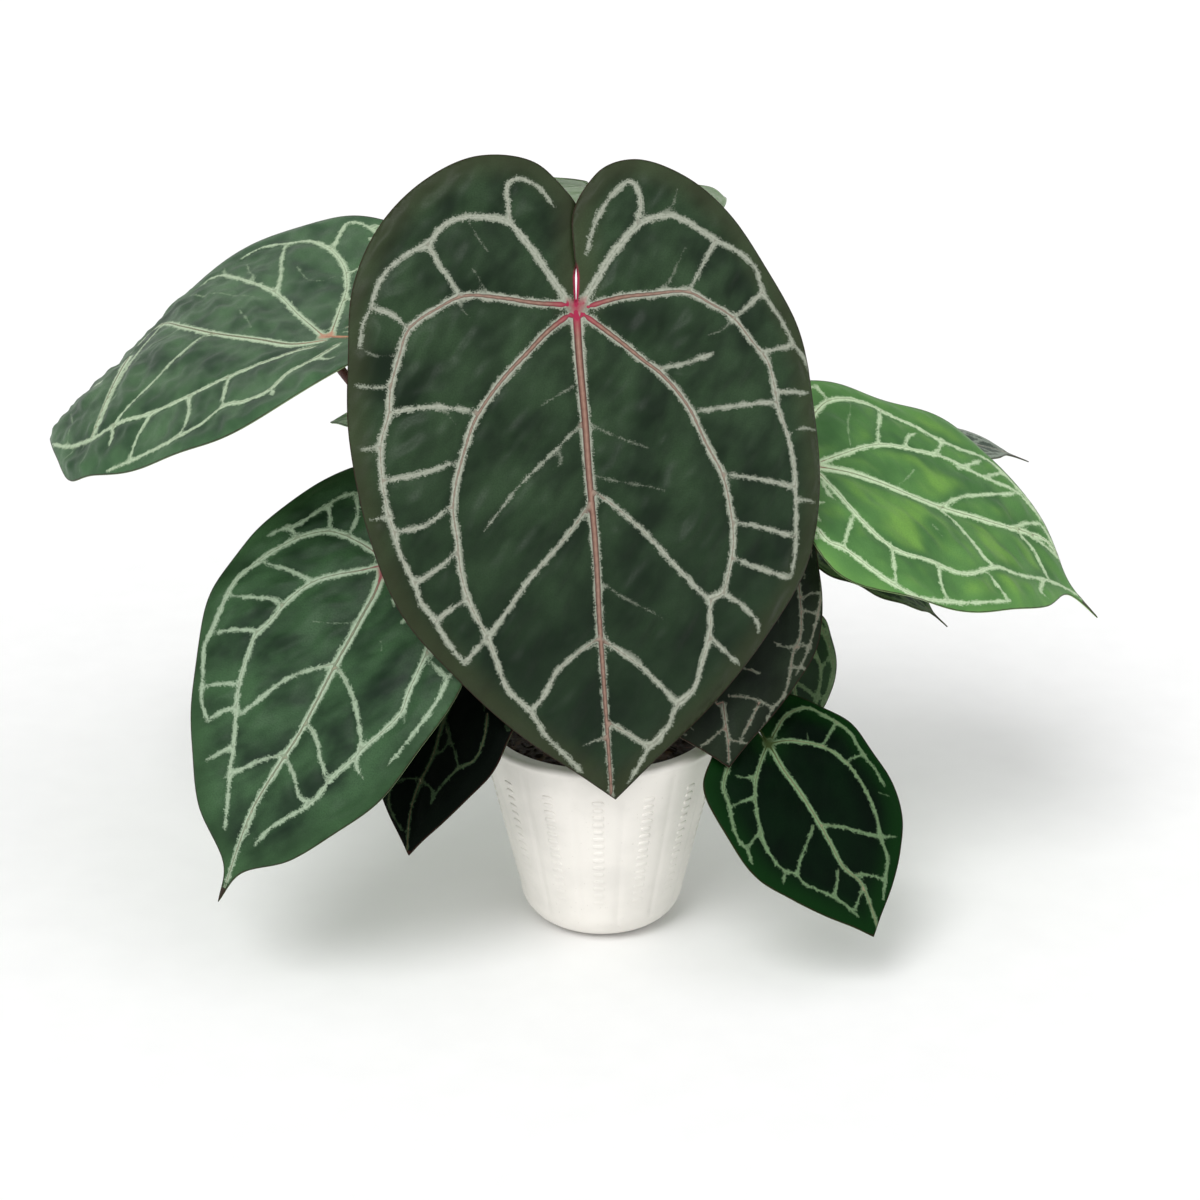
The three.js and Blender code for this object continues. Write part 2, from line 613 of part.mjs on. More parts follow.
function soilGeometry() {
  const positions = [0, 0, FLOOR_THICK + FIT_GAP];
  const triangles = [];
  const rings = [
    { radius: innerRadius(HOLLOW_CORNER) - HOLLOW_DRAW - FIT_GAP, z: FLOOR_THICK + FIT_GAP },
    { radius: innerRadius(HOLLOW_CORNER) - FIT_GAP * 1.3, z: HOLLOW_CORNER + FIT_GAP },
    { radius: innerRadius(SOIL_LEVEL - 1) - FIT_GAP * 1.3, z: SOIL_LEVEL - 1 },
  ];
  for (let i = 1; i < SOIL_RINGS; i += 1) {
    const share = 1 - i / SOIL_RINGS;
    rings.push({ radius: (innerRadius(SOIL_LEVEL) - 2) * share, z: SOIL_LEVEL, top: i });
  }
  rings.forEach(({ radius, z, top }) => {
    for (let k = 0; k < SOIL_SPOKES; k += 1) {
      const a = (2 * Math.PI * k) / SOIL_SPOKES;
      const mound = top ? SOIL_MOUND * (1 - (radius / 60) ** 2) * 0.5 : 0;
      const rough = top ? SOIL_ROUGH * lumps(top, k) : 0;
      positions.push(radius * Math.cos(a), radius * Math.sin(a), z + mound + rough);
    }
  });
  const crownPoint = positions.length / 3;
  positions.push(0, 0, SOIL_LEVEL + 3);
  for (let k = 0; k < SOIL_SPOKES; k += 1) {
    const next = (k + 1) % SOIL_SPOKES;
    triangles.push(0, 1 + next, 1 + k);
    for (let ring = 0; ring + 1 < rings.length; ring += 1) {
      const a = 1 + ring * SOIL_SPOKES + k;
      const b = 1 + ring * SOIL_SPOKES + next;
      triangles.push(a, b, b + SOIL_SPOKES, a, b + SOIL_SPOKES, a + SOIL_SPOKES);
    }
    const last = 1 + (rings.length - 1) * SOIL_SPOKES;
    triangles.push(last + k, last + next, crownPoint);
  }
  let soil = toSolid(meshGeometry(positions, triangles));
  const holeFloor = SOIL_LEVEL - BURIED - FIT_GAP;
  const crownHole = uprightCylinder(CROWN_RADIUS + FIT_GAP, holeFloor, CROWN_TOP, CROWN_SIDES);
  soil = soil.subtract(toSolid(crownHole));
  LEAVES.forEach((leaf, index) => {
    const angle = stalkAngle(index);
    const x = STALK_RING * Math.cos(angle);
    const y = STALK_RING * Math.sin(angle);
    const radius = leaf.stalk * FOOT_SWELL + FIT_GAP * 1.5;
    const hole = uprightCylinder(radius, holeFloor, CROWN_TOP, 10, x, y);
    soil = soil.subtract(toSolid(hole));
  });
  return toGeometry(soil);
}

// The crown: a short ringed stem with pointed papery sheaths standing at its top.
function crownGeometry() {
  const profile = [
    [0, SOIL_LEVEL - BURIED], [CROWN_RADIUS, SOIL_LEVEL - BURIED], [CROWN_RADIUS, SOIL_LEVEL + 6],
    [CROWN_RADIUS - 1.2, SOIL_LEVEL + 8], [CROWN_RADIUS - 0.4, SOIL_LEVEL + 10],
    [CROWN_RADIUS - 1.4, SOIL_LEVEL + 16], [CROWN_RADIUS - 2.4, CROWN_TOP - 6],
    [CROWN_RADIUS - 5, CROWN_TOP], [0, CROWN_TOP + 1],
  ];
  const places = profile.map(([x, y]) => new THREE.Vector2(x, y));
  const lathe = new THREE.LatheGeometry(places, CROWN_SIDES);
  lathe.rotateX(Math.PI / 2);
  let crown = toSolid(lathe);
  for (let i = 0; i < SHEATHS; i += 1) {
    const a = (i * 2 * Math.PI) / SHEATHS + 0.4;
    const sheath = new THREE.ConeGeometry(SHEATH_RADIUS, SHEATH_LENGTH, 5, 1);
    sheath.rotateX(Math.PI / 2);
    sheath.translate(0, 0, SHEATH_LENGTH / 2);
    sheath.rotateY(radians(SHEATH_LEAN));
    sheath.rotateZ(a);
    sheath.translate(3 * Math.cos(a), 3 * Math.sin(a), CROWN_TOP - 10);
    crown = crown.add(toSolid(sheath));
  }
  return toGeometry(crown);
}

const plant = new THREE.Group();
addMesh(plant, 'pot', potGeometry(), 0xecebe8, 0.45);
addMesh(plant, 'soil', soilGeometry(), 0x1c1510, 0.95);
addMesh(plant, 'crown', crownGeometry(), 0x6b5a35, 0.8);
LEAVES.forEach((leaf, index) => {
  addMesh(plant, `petiole_${leaf.name}`, stalkGeometry(leaf, index), 0x5a3a30, 0.5);
  addMesh(plant, `blade_${leaf.name}`, bladeGeometry(leaf), leaf.color, 0.5);
});

export default plant;
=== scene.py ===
"""Potted anthurium hybrid: velvet heart-shaped leaves with pale nets, in a white ceramic planter.

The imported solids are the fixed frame. Each leaf blade, stalk, the crown, the bark mix and the pot
are rebuilt here as finer pieces on the same forms, and get their finishes.
"""

from __future__ import annotations

import logging
import math
from dataclasses import dataclass
from enum import Enum

import bpy
import numpy as np
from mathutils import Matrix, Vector, noise
from mathutils.geometry import delaunay_2d_cdt

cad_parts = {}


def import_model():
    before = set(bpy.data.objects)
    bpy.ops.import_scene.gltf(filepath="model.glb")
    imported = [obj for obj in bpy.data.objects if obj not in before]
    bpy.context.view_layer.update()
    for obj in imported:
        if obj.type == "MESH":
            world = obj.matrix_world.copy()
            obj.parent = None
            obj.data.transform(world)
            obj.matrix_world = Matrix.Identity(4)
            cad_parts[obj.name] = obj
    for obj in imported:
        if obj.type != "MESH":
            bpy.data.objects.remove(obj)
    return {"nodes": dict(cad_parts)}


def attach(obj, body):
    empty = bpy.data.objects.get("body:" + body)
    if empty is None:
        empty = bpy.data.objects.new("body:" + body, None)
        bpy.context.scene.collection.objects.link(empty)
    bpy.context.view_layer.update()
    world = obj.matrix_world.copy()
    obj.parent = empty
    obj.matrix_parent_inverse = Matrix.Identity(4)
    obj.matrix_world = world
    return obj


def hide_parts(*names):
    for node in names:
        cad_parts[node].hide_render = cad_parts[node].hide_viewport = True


LOG = logging.getLogger("anthurium")

MM = 0.001
Array = np.ndarray
Pair = tuple[float, float]
Place = tuple[float, float, float]
Rise = tuple[float, ...]
Piece = bpy.types.Object
Finish = bpy.types.Material
Tree = bpy.types.NodeTree
Socket = bpy.types.NodeSocket


# Sizes that the solids share, in millimetres, degrees and shares of a size

POT_HEIGHT = 129.0
RIM_RADIUS = 75.5
LIP_WIDTH = 10.0
LIP_ROUND = 3.0
WALL_THICK = 5.5
FLOOR_THICK = 7.0
WALL_SLOPE = 0.23
BOTTOM_ROUND = 22.0
FOOT_DRAW = 0.06
SOIL_LEVEL = 114.0
CROWN_TOP = 142.0
CROWN_RADIUS = 8.0
BURIED = 12.0
SPROUT = 9.0
STALK_RING = 15.5
JOINT_SWELL = 1.35
JOINT_LENGTH = 16.0
JOINT_STRAIGHT = 6.0
JOINT_EASE = 0.7
JOINT_END = (3.0, 0.6)
RISING = 0.4
LEAVING = 0.25
STALK_POINTS = 60
STALK_STEP = 2.5
FOOT_SWELL = 1.18
TOP_DRAW = 0.3
BLADE_THICK = 0.8
RIB_BELOW = 0.7
FIT_GAP = 0.3
FORM_STEPS = 72
LOBE_REACH = 0.42
TIP_REACH = 1.12
POINTED = 0.45
WAVE_TURNS = 17.0
WAVE_PHASES = (0.6, 2.4)
FOLD_SLANT = 128.0
# Painted shade on the flanks of a vein's reddish tube
TUBE_FLANK_SHADE = "#4c2620"
# Painted highlight along the top of a vein's reddish tube
TUBE_LIT = "#b39080"
LEAF_RIM = "#2e1a16"
SHEEN_TINT = "#dfe8d8"
RED_PARTS = 4.0


class Rank(Enum):
    """The ranks of a leaf's veins, each a VeinSize."""

    MIDRIB = (4.0, 1.6, 1.0, 0.5, 0.55, 1.0, 0.8)
    MAIN = (2.7, 1.35, 1.0, 0.5, 0.18, 1.0, 0.0)
    LOBE = (2.5, 1.2, 0.95, 0.18, 0.18, 0.0, 0.0)
    RUNG = (1.75, 1.15, 0.97, 0.15, 0.15, 0.1, 0.0)
    SIDE = (1.5, 1.7, 0.97, 0.3, 0.18, 0.35, 0.0)
    TWIG = (1.0, 0.8, 0.9, 0.1, 0.1, 0.0, 0.0)
    FINE = (0.5, 0.2, 0.5, 0.1, 0.1, 0.0, 0.0)


@dataclass(frozen=True)
class VeinSize:
    """Half widths in mm at a vein's start and end, its tone, and its core's share of them and redness."""

    start: float
    end: float
    tone: float
    core_start: float
    core_end: float
    red_start: float
    red_end: float

    def along(self, first: float, last: float, share: Array, power: float = 1.0) -> Array:
        """Reads a value that goes from first to last along the vein."""
        return last + (first - last) * (1 - share) ** power


@dataclass(frozen=True)
class Vein:
    """One vein: its rank and its smooth centre line in flat millimetres."""

    rank: Rank
    line: Array


@dataclass(frozen=True)
class LeafTones:
    """The colours of one leaf, as sRGB hex, and the shares that tune its finish."""

    dark: str
    light: str
    vein: str
    core: str
    rim: str
    under: str
    root: str = "#8e3450"
    patch: str = ""
    core_share: float = 0.9
    core_width: float = 1.0
    rim_share: float = 0.25
    # Share of the slanting streaks of painted sheen and painted fold shade in the skin, against its clouds
    streaks: float = 0.5
    dusk: float = 0.0
    gloss: float = 0.3
    sheen: float = 0.05
    rough: float = 0.46


@dataclass(frozen=True)
class LeafNet:
    """The lines of a leaf's own net where the photograph shows it, as "x,y x,y ..." in its pixels."""

    midrib: str = ""
    main: tuple[str, ...] = ()
    lobes: tuple[str, ...] = ()
    rungs: tuple[str, ...] = ()
    sides: tuple[str, ...] = ()
    twigs: tuple[str, ...] = ()
    fine: tuple[str, ...] = ()


# The margin and the net that every blade shares: x is a share of the half width, y of the length

MIDRIB = (
    (0, 0), (0, 0.012), (0, 0.028), (0, 0.05), (0, 0.08), (0, 0.115), (0, 0.16), (0, 0.22),
    (0, 0.3), (0, 0.39), (0, 0.49), (0, 0.59), (0, 0.69), (0, 0.79), (0, 0.9), (0, 1),
)
INNER_VEIN = (
    (0, 0), (0.045, 0.008), (0.09, 0.022), (0.14, 0.045), (0.19, 0.072), (0.25, 0.105),
    (0.32, 0.145), (0.41, 0.205), (0.5, 0.28), (0.575, 0.37), (0.6, 0.465), (0.545, 0.57),
    (0.43, 0.69), (0.29, 0.8), (0.115, 0.91), (0, 1),
)
OUTER_VEIN = (
    (0, 0), (0.055, -0.012), (0.115, -0.018), (0.19, -0.021), (0.28, -0.023), (0.38, -0.023),
    (0.5, -0.015), (0.63, 0.022), (0.75, 0.1), (0.84, 0.22), (0.885, 0.37), (0.83, 0.54),
    (0.6, 0.7), (0.375, 0.82), (0.15, 0.925), (0, 1),
)
LOBE_VEIN = (
    (0, 0), (0.05, -0.035), (0.11, -0.085), (0.2, -0.135), (0.33, -0.175), (0.49, -0.165),
    (0.65, -0.115), (0.8, -0.025), (0.9, 0.1), (0.95, 0.24), (0.945, 0.4), (0.86, 0.57),
    (0.64, 0.72), (0.4, 0.83), (0.16, 0.935), (0, 1),
)
MARGIN = (
    (0, 0), (0.01, -0.1), (0.025, -0.2), (0.13, -0.275), (0.33, -0.295), (0.55, -0.255),
    (0.74, -0.175), (0.88, -0.06), (0.965, 0.075), (1, 0.23), (0.99, 0.4), (0.9, 0.57),
    (0.69, 0.7), (0.43, 0.825), (0.15, 0.935), (0, 1),
)


@dataclass(frozen=True)
class LeafSpec:
    """The place, bends and sizes of one leaf, the same as its solid's, and its net and tones."""

    name: str
    junction: Place
    heading: float
    pitch: float
    roll: float
    arch: Pair
    length: float
    half_width: Pair
    stalk: float
    tones: LeafTones
    lobe_arch: float = 10.0
    twist: float = 0.0
    sway: float = 0.0
    sinus_lean: float = 0.0
    lift: Pair = (9.0, 9.0)
    curl: Pair = (-16.0, -16.0)
    lobes: Pair = (1.0, 1.0)
    fuller: Pair = (1.0, 1.0)
    slim: Pair = (0.0, 0.0)
    drip: float = 0.0
    neck: float = 38.0
    wave: float = 1.0
    puff: float = 1.5
    vein_scale: float = 0.6
    spacing: float = 2.6
    net: LeafNet = LeafNet()
    covers: tuple[str, ...] = ("front",)


DARK_TONES = LeafTones(
    dark="#0a1d0c", light="#31482e", vein="#a9ad9e", core="#835a4c", rim="#3a3d25", under="#6a7a5c",
    root="#9c2446", rim_share=0.45, dusk=0.6, gloss=0.2, sheen=0.02, rough=0.42,
)
MID_TONES = LeafTones(
    dark="#16341d", light="#4d6e4a", vein="#bccfae", core="#55622f", rim="#3f6b3f", under="#7e9a6a",
    root="#b9876c", core_share=0.8, core_width=0.45,
)
GREEN_TONES = LeafTones(
    dark="#092110", light="#3c5d3b", vein="#a9bba1", core="#6a7a58", rim="#2a4c26", under="#6f8f5c",
    root="#8a4a4c", core_share=0.5, core_width=0.45, rim_share=0.35, gloss=0.22,
)
BLACK_TONES = LeafTones(
    dark="#010302", light="#040a05", vein="#3d5038", core="#5d6a4c", rim="#040d05", under="#3a4c34",
    root="#2c3020", core_share=0.2, core_width=0.3, streaks=0.3, gloss=0.04, sheen=0.0, rough=0.6,
)
BRIGHT_TONES = LeafTones(
    dark="#35602f", light="#568544", vein="#cbdfb9", core="#9dbd85", rim="#5a8c46", under="#9dc27c",
    patch="#7cab48", root="#8a5a48", core_share=0.5, core_width=0.3, rim_share=0.5,
)
BROWN_TONES = LeafTones(
    dark="#0a120b", light="#1f2b1d", vein="#868a7a", core="#86665c", rim="#222a1a", under="#5c5c4a",
    core_share=0.5, core_width=0.4, gloss=0.1, sheen=0.0,
)
LOW_TONES = LeafTones(
    dark="#010b04", light="#041908", vein="#7d9a72", core="#4c7044", rim="#08290a", under="#4a6c42",
    root="#3c4a28", core_share=0.5, core_width=0.4, rim_share=0.9, gloss=0.05, sheen=0.0, rough=0.5,
)
SHADED_TONES = LeafTones(
    dark="#081a0c", light="#1f381b", vein="#627856", core="#55683f", rim="#1c3a18", under="#4c6040",
    root="#4a4a30", core_share=0.3, core_width=0.4, gloss=0.12, sheen=0.0,
)
PALE_TONES = LeafTones(
    dark="#5c8656", light="#7b9a70", vein="#cddcc2", core="#cfdfc0", rim="#5c8a55", under="#9ab88a",
    root="#8a6a50", core_share=0.1,
)
DULL_TONES = LeafTones(
    dark="#2c3a30", light="#46544a", vein="#97a394", core="#9aa595", rim="#3c4a38", under="#77866c",
    root="#5a4a40", core_share=0.1,
)


FRONT_NET = LeafNet(
    midrib="576,311 579,357 585,422 589,478 594,530 597,574 599,617 602,660 605,704 609,760 612,806",
    main=(
        "583,314 618,340 644,361 661,374 687,405 706,444 722,474 730,509 733,543 728,574 722,593 "
        "711,600 710,630 700,669 693,689 678,704 665,730 650,745 639,765 628,783",
        "587,307 618,298 652,294 687,292 709,303 733,318 752,342 767,361 774,387 778,409 787,435 "
        "793,461 795,487 795,548 791,574",
        "570,314 548,331 527,353 507,374 487,400 474,422 464,452 456,483 453,509 457,539 461,574 "
        "470,604 487,637 496,660 507,689 529,710 548,738 566,756 583,773",
        "568,305 535,303 501,298 464,296 440,307 409,329 399,357 390,392 389,413 381,444 382,478 "
        "388,513 394,532 401,556 414,582 422,604 435,621 448,643 464,663",
    ),
    lobes=(
        "583,303 600,274 618,248 639,225 657,217 674,216 687,222 715,240 739,253 756,270 762,292 "
        "774,310 787,331 793,344 800,352 806,363 809,373",
        "568,301 548,274 527,244 507,222 483,217 461,218 444,225 427,244 405,255 388,270 377,287 "
        "370,309 362,327 360,348",
    ),
    rungs=(
        "715,240 704,262 689,290", "762,292 748,306 733,318", "793,346 780,348 761,352",
        "774,392 790,392 808,393", "713,353 700,358 684,364 661,368", "774,402 740,405 698,411",
        "793,487 760,479 726,474", "793,537 765,528 735,522", "789,578 764,570 736,559",
        "722,593 740,604 757,622 758,632", "711,637 724,650 739,665", "427,244 440,266 461,296",
        "373,309 390,314 407,327", "390,413 431,407 474,411", "386,480 420,474 455,462",
        "396,532 424,526 448,508", "415,583 436,570 456,552", "436,621 450,610 468,598",
        "464,663 474,652 485,639", "637,222 641,204 637,188 630,181 620,188 606,206 596,230 589,254",
        "509,218 507,186 514,179 527,181 540,190 551,207",
    ),
    sides=(
        "594,491 618,509 644,532 661,550 687,578 709,598 722,593",
        "600,637 618,650 644,669 661,686 678,702 690,694", "610,723 626,732 651,745 665,730",
        "589,504 574,526 553,552 527,582 509,608 490,634 487,637",
        "597,639 579,652 557,671 544,695 531,710 529,710",
    ),
    twigs=(
        "579,426 557,448 535,470 514,491 501,509 483,532", "602,738 583,745", "795,430 806,428 815,430",
        "796,500 806,500 815,502", "355,385 372,388 388,386", "360,450 370,448 381,446",
        "370,520 380,518 392,516",
    ),
    fine=(
        "360,348 376,356 392,356", "591,424 602,430 612,435 630,442 648,448",
        "595,475 606,479 622,482 645,486 664,490", "604,584 625,598 650,611 662,618",
        "572,386 556,396 540,406", "657,217 672,205 676,190", "663,290 672,276 678,262 684,248",
        "470,225 478,240 486,252", "440,405 448,416 455,424", "557,448 560,462 552,470",
        "618,650 630,652 640,660", "461,298 462,310 470,318", "490,300 480,282 472,270",
        "733,318 722,330 706,336",
    ),
)
UPPER_LEFT_NET = LeafNet(
    midrib="327,341 292,345 258,340 214,334 182,327 165,324 148,336 130,357 114,385 100,417 92,439",
    main=(
        "325,338 312,327 298,315 278,295 262,287 238,279 225,276 211,279 201,287",
        "330,338 335,325 341,308 347,290 345,269 333,252 312,242 289,244 266,247 250,254 242,259",
        "317,347 298,351 280,357 234,375 188,397 153,413 118,424 93,439 68,447 52,444",
        "340,344 317,358 289,373 271,389 248,401 225,406 202,424 174,440 132,461 107,471",
    ),
    rungs=(
        "276,294 281,278 282,260 286,246", "334,248 340,235 348,223 363,225 375,232 382,237",
        "347,273 354,272 359,269", "229,379 225,392 223,405", "189,398 189,415 183,431 172,440",
        "152,414 139,435 130,461", "317,358 326,360 334,358", "271,389 274,395",
    ),
    sides=(
        "214,335 202,338 178,357 151,385 128,408 115,424", "161,327 137,355 116,387 105,412 96,434",
        "113,425 113,435 110,447", "72,402 86,392 104,381",
    ),
    fine=(
        "241,314 248,322 252,330", "248,265 250,273 257,279", "225,269 226,278", "102,371 107,375",
        "93,440 88,456 82,472", "86,442 79,454 72,468", "77,445 72,454 67,462", "192,298 225,296 262,302",
        "178,330 146,352 123,385 109,408", "298,269 312,283 335,278", "70,403 72,422 68,445",
    ),
)
LOW_LEFT_NET = LeafNet(
    midrib="385,562 376,592 365,612 351,638 337,663 318,700 301,732 286,755 268,783 252,811 238,848 225,887",
    main=(
        "384,565 360,571 337,575 314,582 291,598 270,622 256,635 247,658 240,682 236,718 234,746 "
        "230,774 228,802 225,829",
        "383,558 360,543 332,532 305,536 279,548 258,562 235,582 224,603 215,624 205,645 203,677 "
        "202,700 208,722",
        "420,617 429,631 428,649 420,668 408,695 402,712 383,732 365,747 355,758 332,778 314,801 "
        "291,816 270,829 256,844",
    ),
    rungs=(
        "358,493 342,497 329,505 312,516 298,525 284,529 268,536", "329,505 330,518 330,530",
        "356,496 358,515 350,534", "313,582 291,571 261,562", "281,604 272,599 256,598 232,596",
        "258,631 235,630 215,633", "240,684 222,684 203,687", "237,707 222,712 207,721",
        "234,745 222,752 207,760", "432,663 448,677 456,672", "428,655 436,653 445,654",
        "448,677 438,700 411,737 388,766", "356,758 357,767 363,778", "288,525 293,532 299,536",
    ),
    sides=(
        "337,663 318,668 291,677 268,693 242,714", "286,754 263,760 231,774",
        "338,668 351,691 358,718 361,742 357,756", "307,723 316,737 321,760 327,779",
        "287,758 295,778 301,799 312,802", "252,813 248,825 249,832",
    ),
    fine=(
        "353,622 335,624 314,622", "405,712 405,724", "275,604 277,597 263,598", "381,642 382,650",
        "230,774 224,778", "256,844 254,838",
    ),
)
UNDER_LEFT_NET = LeafNet(
    midrib="457,691 451,705 445,718 432,760 420,783 411,811 407,853",
    main=(
        "488,714 485,737 475,760 457,770 445,783 434,798 432,804", "383,767 390,785 389,802 393,815 402,830",
    ),
    rungs=(
        "433,755 443,751 450,737 445,718", "420,779 406,779 390,785", "421,781 432,789 432,802",
    ),
    sides=(
        "447,730 455,751 459,768",
    ),
)
RIGHT_NET = LeafNet(
    midrib=(
        "815,467 849,473 879,483 908,495 938,507 972,517 1002,526 1027,533 1044,540 1061,558 1082,586 "
        "1093,608 1101,621"
    ),
    main=(
        "816,464 841,455 862,448 883,445 917,451 947,459 972,472 997,483 1016,492 1035,512 1048,529 "
        "1061,546",
        "816,471 837,493 858,517 879,538 900,552 930,561 955,572 972,574 995,567 1018,575 1044,580 "
        "1065,588 1093,606",
        "812,419 816,412 827,402 845,399 866,404 892,417 917,428 938,440 959,449 985,459 1002,472 "
        "1016,487 1033,506 1044,523",
        "816,527 828,542 841,547 858,559 875,572 896,586 917,597 942,601 972,603 1010,601",
    ),
    rungs=(
        "880,413 878,428 878,445", "942,440 938,451 932,455", "980,461 966,466 957,469",
        "1004,473 993,475 984,476", "853,517 847,533 844,547", "892,550 894,567 896,584",
        "938,567 941,584 947,599", "988,574 999,588 1008,600", "915,434 908,437 905,448",
        "822,483 829,495 834,500", "1044,580 1040,591 1048,599", "815,385 822,394 827,401",
    ),
    sides=(
        "938,508 959,498 985,495 1015,494", "938,508 955,523 972,542 985,559 995,567",
        "1010,529 1023,524 1040,524", "1018,533 1033,550 1042,567 1048,580",
        "1027,534 1044,546 1061,561 1078,588", "1040,524 1046,533 1054,546",
    ),
    fine=(
        "849,399 849,415 847,428 850,445", "913,471 904,481 894,487", "841,468 858,473 870,474",
        "930,525 938,533 941,537", "1033,595 1031,591",
    ),
)
LOW_RIGHT_NET = LeafNet(
    midrib="768,743 783,770 800,793 817,820 830,843 843,867 860,882 867,897 875,920 880,940",
    main=(
        "769,744 787,741 807,743 823,747 843,760 857,777 870,800 877,820 880,837 887,857 885,882 "
        "883,900",
        "767,745 760,763 755,783 755,800 760,830 767,850 783,870 797,875 803,883 833,897 847,907 "
        "858,917",
        "772,738 778,727 783,719 790,713 807,708 823,715 837,723 850,733 860,750 867,760 877,773 "
        "884,787", "730,760 728,768 723,787 730,808 733,827 740,843 747,850 752,863",
    ),
    rungs=(
        "836,723 830,733 823,745", "865,755 855,757 846,762", "879,837 890,837 897,837",
        "755,777 745,778 735,776", "755,798 742,802 730,808", "760,832 753,840 747,849",
        "785,872 784,878 783,884",
    ),
    sides=(
        "820,825 840,827 860,832 879,837", "857,874 873,876 885,881", "813,826 807,843 800,860 797,875",
        "838,869 836,887 833,897", "862,888 857,903 853,912",
    ),
    fine=(
        "878,793 888,797", "804,883 805,887", "807,733 808,742",
    ),
)
BEHIND_RIGHT_NET = LeafNet(
    midrib="723,702 725,720 728,740 729,766",
    main=(
        "798,580 800,600 801,620 800,637 793,653 788,683 783,697 773,708 763,727 749,746",
        "822,567 822,580 821,597 818,613 812,637 805,657 796,675", "682,745 693,757 710,764",
    ),
    rungs=(
        "800,599 810,594 822,593", "801,610 810,612 819,615", "800,647 805,645 811,648",
        "792,667 802,667 809,673", "774,642 783,647 795,647",
    ),
    sides=(
        "728,696 750,698 763,703 773,708", "729,740 740,742 749,744", "725,727 710,740 698,751 710,763",
        "681,745 698,751", "750,670 760,673",
    ),
)


PLANT = (
    LeafSpec(
        "front", (-15, -12, 399), 13, -65, -4, (14, 10), 295, (145, 140), 3.6, DARK_TONES,
        lobe_arch=12, sway=4, sinus_lean=0.1, lift=(7, 7), curl=(-22, -22), lobes=(0.96, 1.03),
        fuller=(0.93, 1.07), slim=(0, 0.06), wave=1.5, vein_scale=1.0, puff=2.8, spacing=2.3,
        net=FRONT_NET, covers=(),
    ),
    LeafSpec(
        "upper_left", (-164, 27, 368), -135, -11, -7, (-21, 80), 285, (124, 138), 3.2, MID_TONES,
        lobe_arch=0, twist=-18, sway=16, lift=(0, 3), curl=(-33, 8), lobes=(0.8, 1), slim=(-0.07, -0.04),
        wave=2, vein_scale=0.95, puff=2.2, net=UPPER_LEFT_NET,
    ),
    LeafSpec(
        "low_left", (-127, -32, 242), -40, -44, -10, (22, 0), 214, (82, 101), 3.1, GREEN_TONES,
        lobe_arch=12, sway=-8, fuller=(1, 0.92), slim=(0.06, 0.17), drip=7, wave=2, vein_scale=0.85,
        puff=1.8, spacing=2.3, net=LOW_LEFT_NET,
    ),
    LeafSpec(
        "under_left", (-74, -36, 202), -34, -44, 3, (22, 0), 138, (52, 50), 2.6, BLACK_TONES,
        lobe_arch=12, sway=3, curl=(-15, -15), lobes=(0.8, 0.7), fuller=(1, 0.6), vein_scale=0.42, puff=1.2,
        net=UNDER_LEFT_NET, covers=("front", "low_left"),
    ),
    LeafSpec(
        "right", (127, 56, 277), 93, -14, 19, (28, 4), 206, (88, 95), 3.1, BRIGHT_TONES, sway=-4,
        lift=(9, 6), curl=(-14, -20), fuller=(1, 0.69), lobes=(1, 0.38), slim=(-0.05, 0.07), drip=16,
        wave=2, vein_scale=0.85, puff=2.0, spacing=2.3, net=RIGHT_NET,
    ),
    LeafSpec(
        "behind_right", (56, 0, 263), 11, -74, 1, (-25, 0), 152, (74, 72), 2.8, BROWN_TONES, sway=5,
        lift=(8, 8), fuller=(0.75, 1), lobes=(0.6, 1), wave=1.5, vein_scale=0.45, puff=1.6,
        net=BEHIND_RIGHT_NET, covers=("front", "low_right"),
    ),
    LeafSpec(
        "low_right", (99, -38, 133), 40, -37, 5, (17, 0), 134, (62, 60), 2.6, LOW_TONES,
        lobe_arch=34, twist=3, sway=1, lift=(9, 8), curl=(-14, -15), lobes=(0.75, 0.5),
        fuller=(0.85, 0.7), neck=8, vein_scale=0.55, puff=1.3, spacing=2.0, net=LOW_RIGHT_NET,
    ),
    LeafSpec(
        "back_right", (158, 156, 256), 98, 6, 5, (24, 6), 118, (30, 42), 2.6, DULL_TONES, drip=8,
    ),
    LeafSpec(
        "under_right", (136, 80, 210), 82, -14, 3, (28, 0), 88, (38, 28), 2.3, SHADED_TONES,
        lobes=(0.6, 0.6), fuller=(1, 0.8), drip=8,
    ),
    LeafSpec(
        "small_right", (109, 30, 186), 30, -60, 0, (18, 0), 78, (34, 34), 2.2, SHADED_TONES,
        lobes=(0.6, 1), fuller=(0.6, 1), wave=0.8,
    ),
    LeafSpec(
        "top_back", (-6, 92, 443), 176, -20, 0, (12, 0), 160, (80, 80), 2.8, PALE_TONES,
        lobe_arch=6, lift=(3, 3), curl=(-8, -8),
    ),
    LeafSpec(
        "back_left", (-58, 78, 299), -104, 7, -3, (26, 0), 118, (54, 54), 2.5, PALE_TONES,
        lobe_arch=8,
    ),
)


def linear(code: str) -> tuple[float, float, float, float]:
    """Turns an sRGB hex colour to linear light.

    Args:
        code: The colour as "#rrggbb".

    Returns:
        The linear red, green, blue and an alpha of 1.
    """
    parts = [int(code[i : i + 2], 16) / 255 for i in (1, 3, 5)]
    light = [p / 12.92 if p <= 0.04045 else ((p + 0.055) / 1.055) ** 2.4 for p in parts]
    return (light[0], light[1], light[2], 1.0)


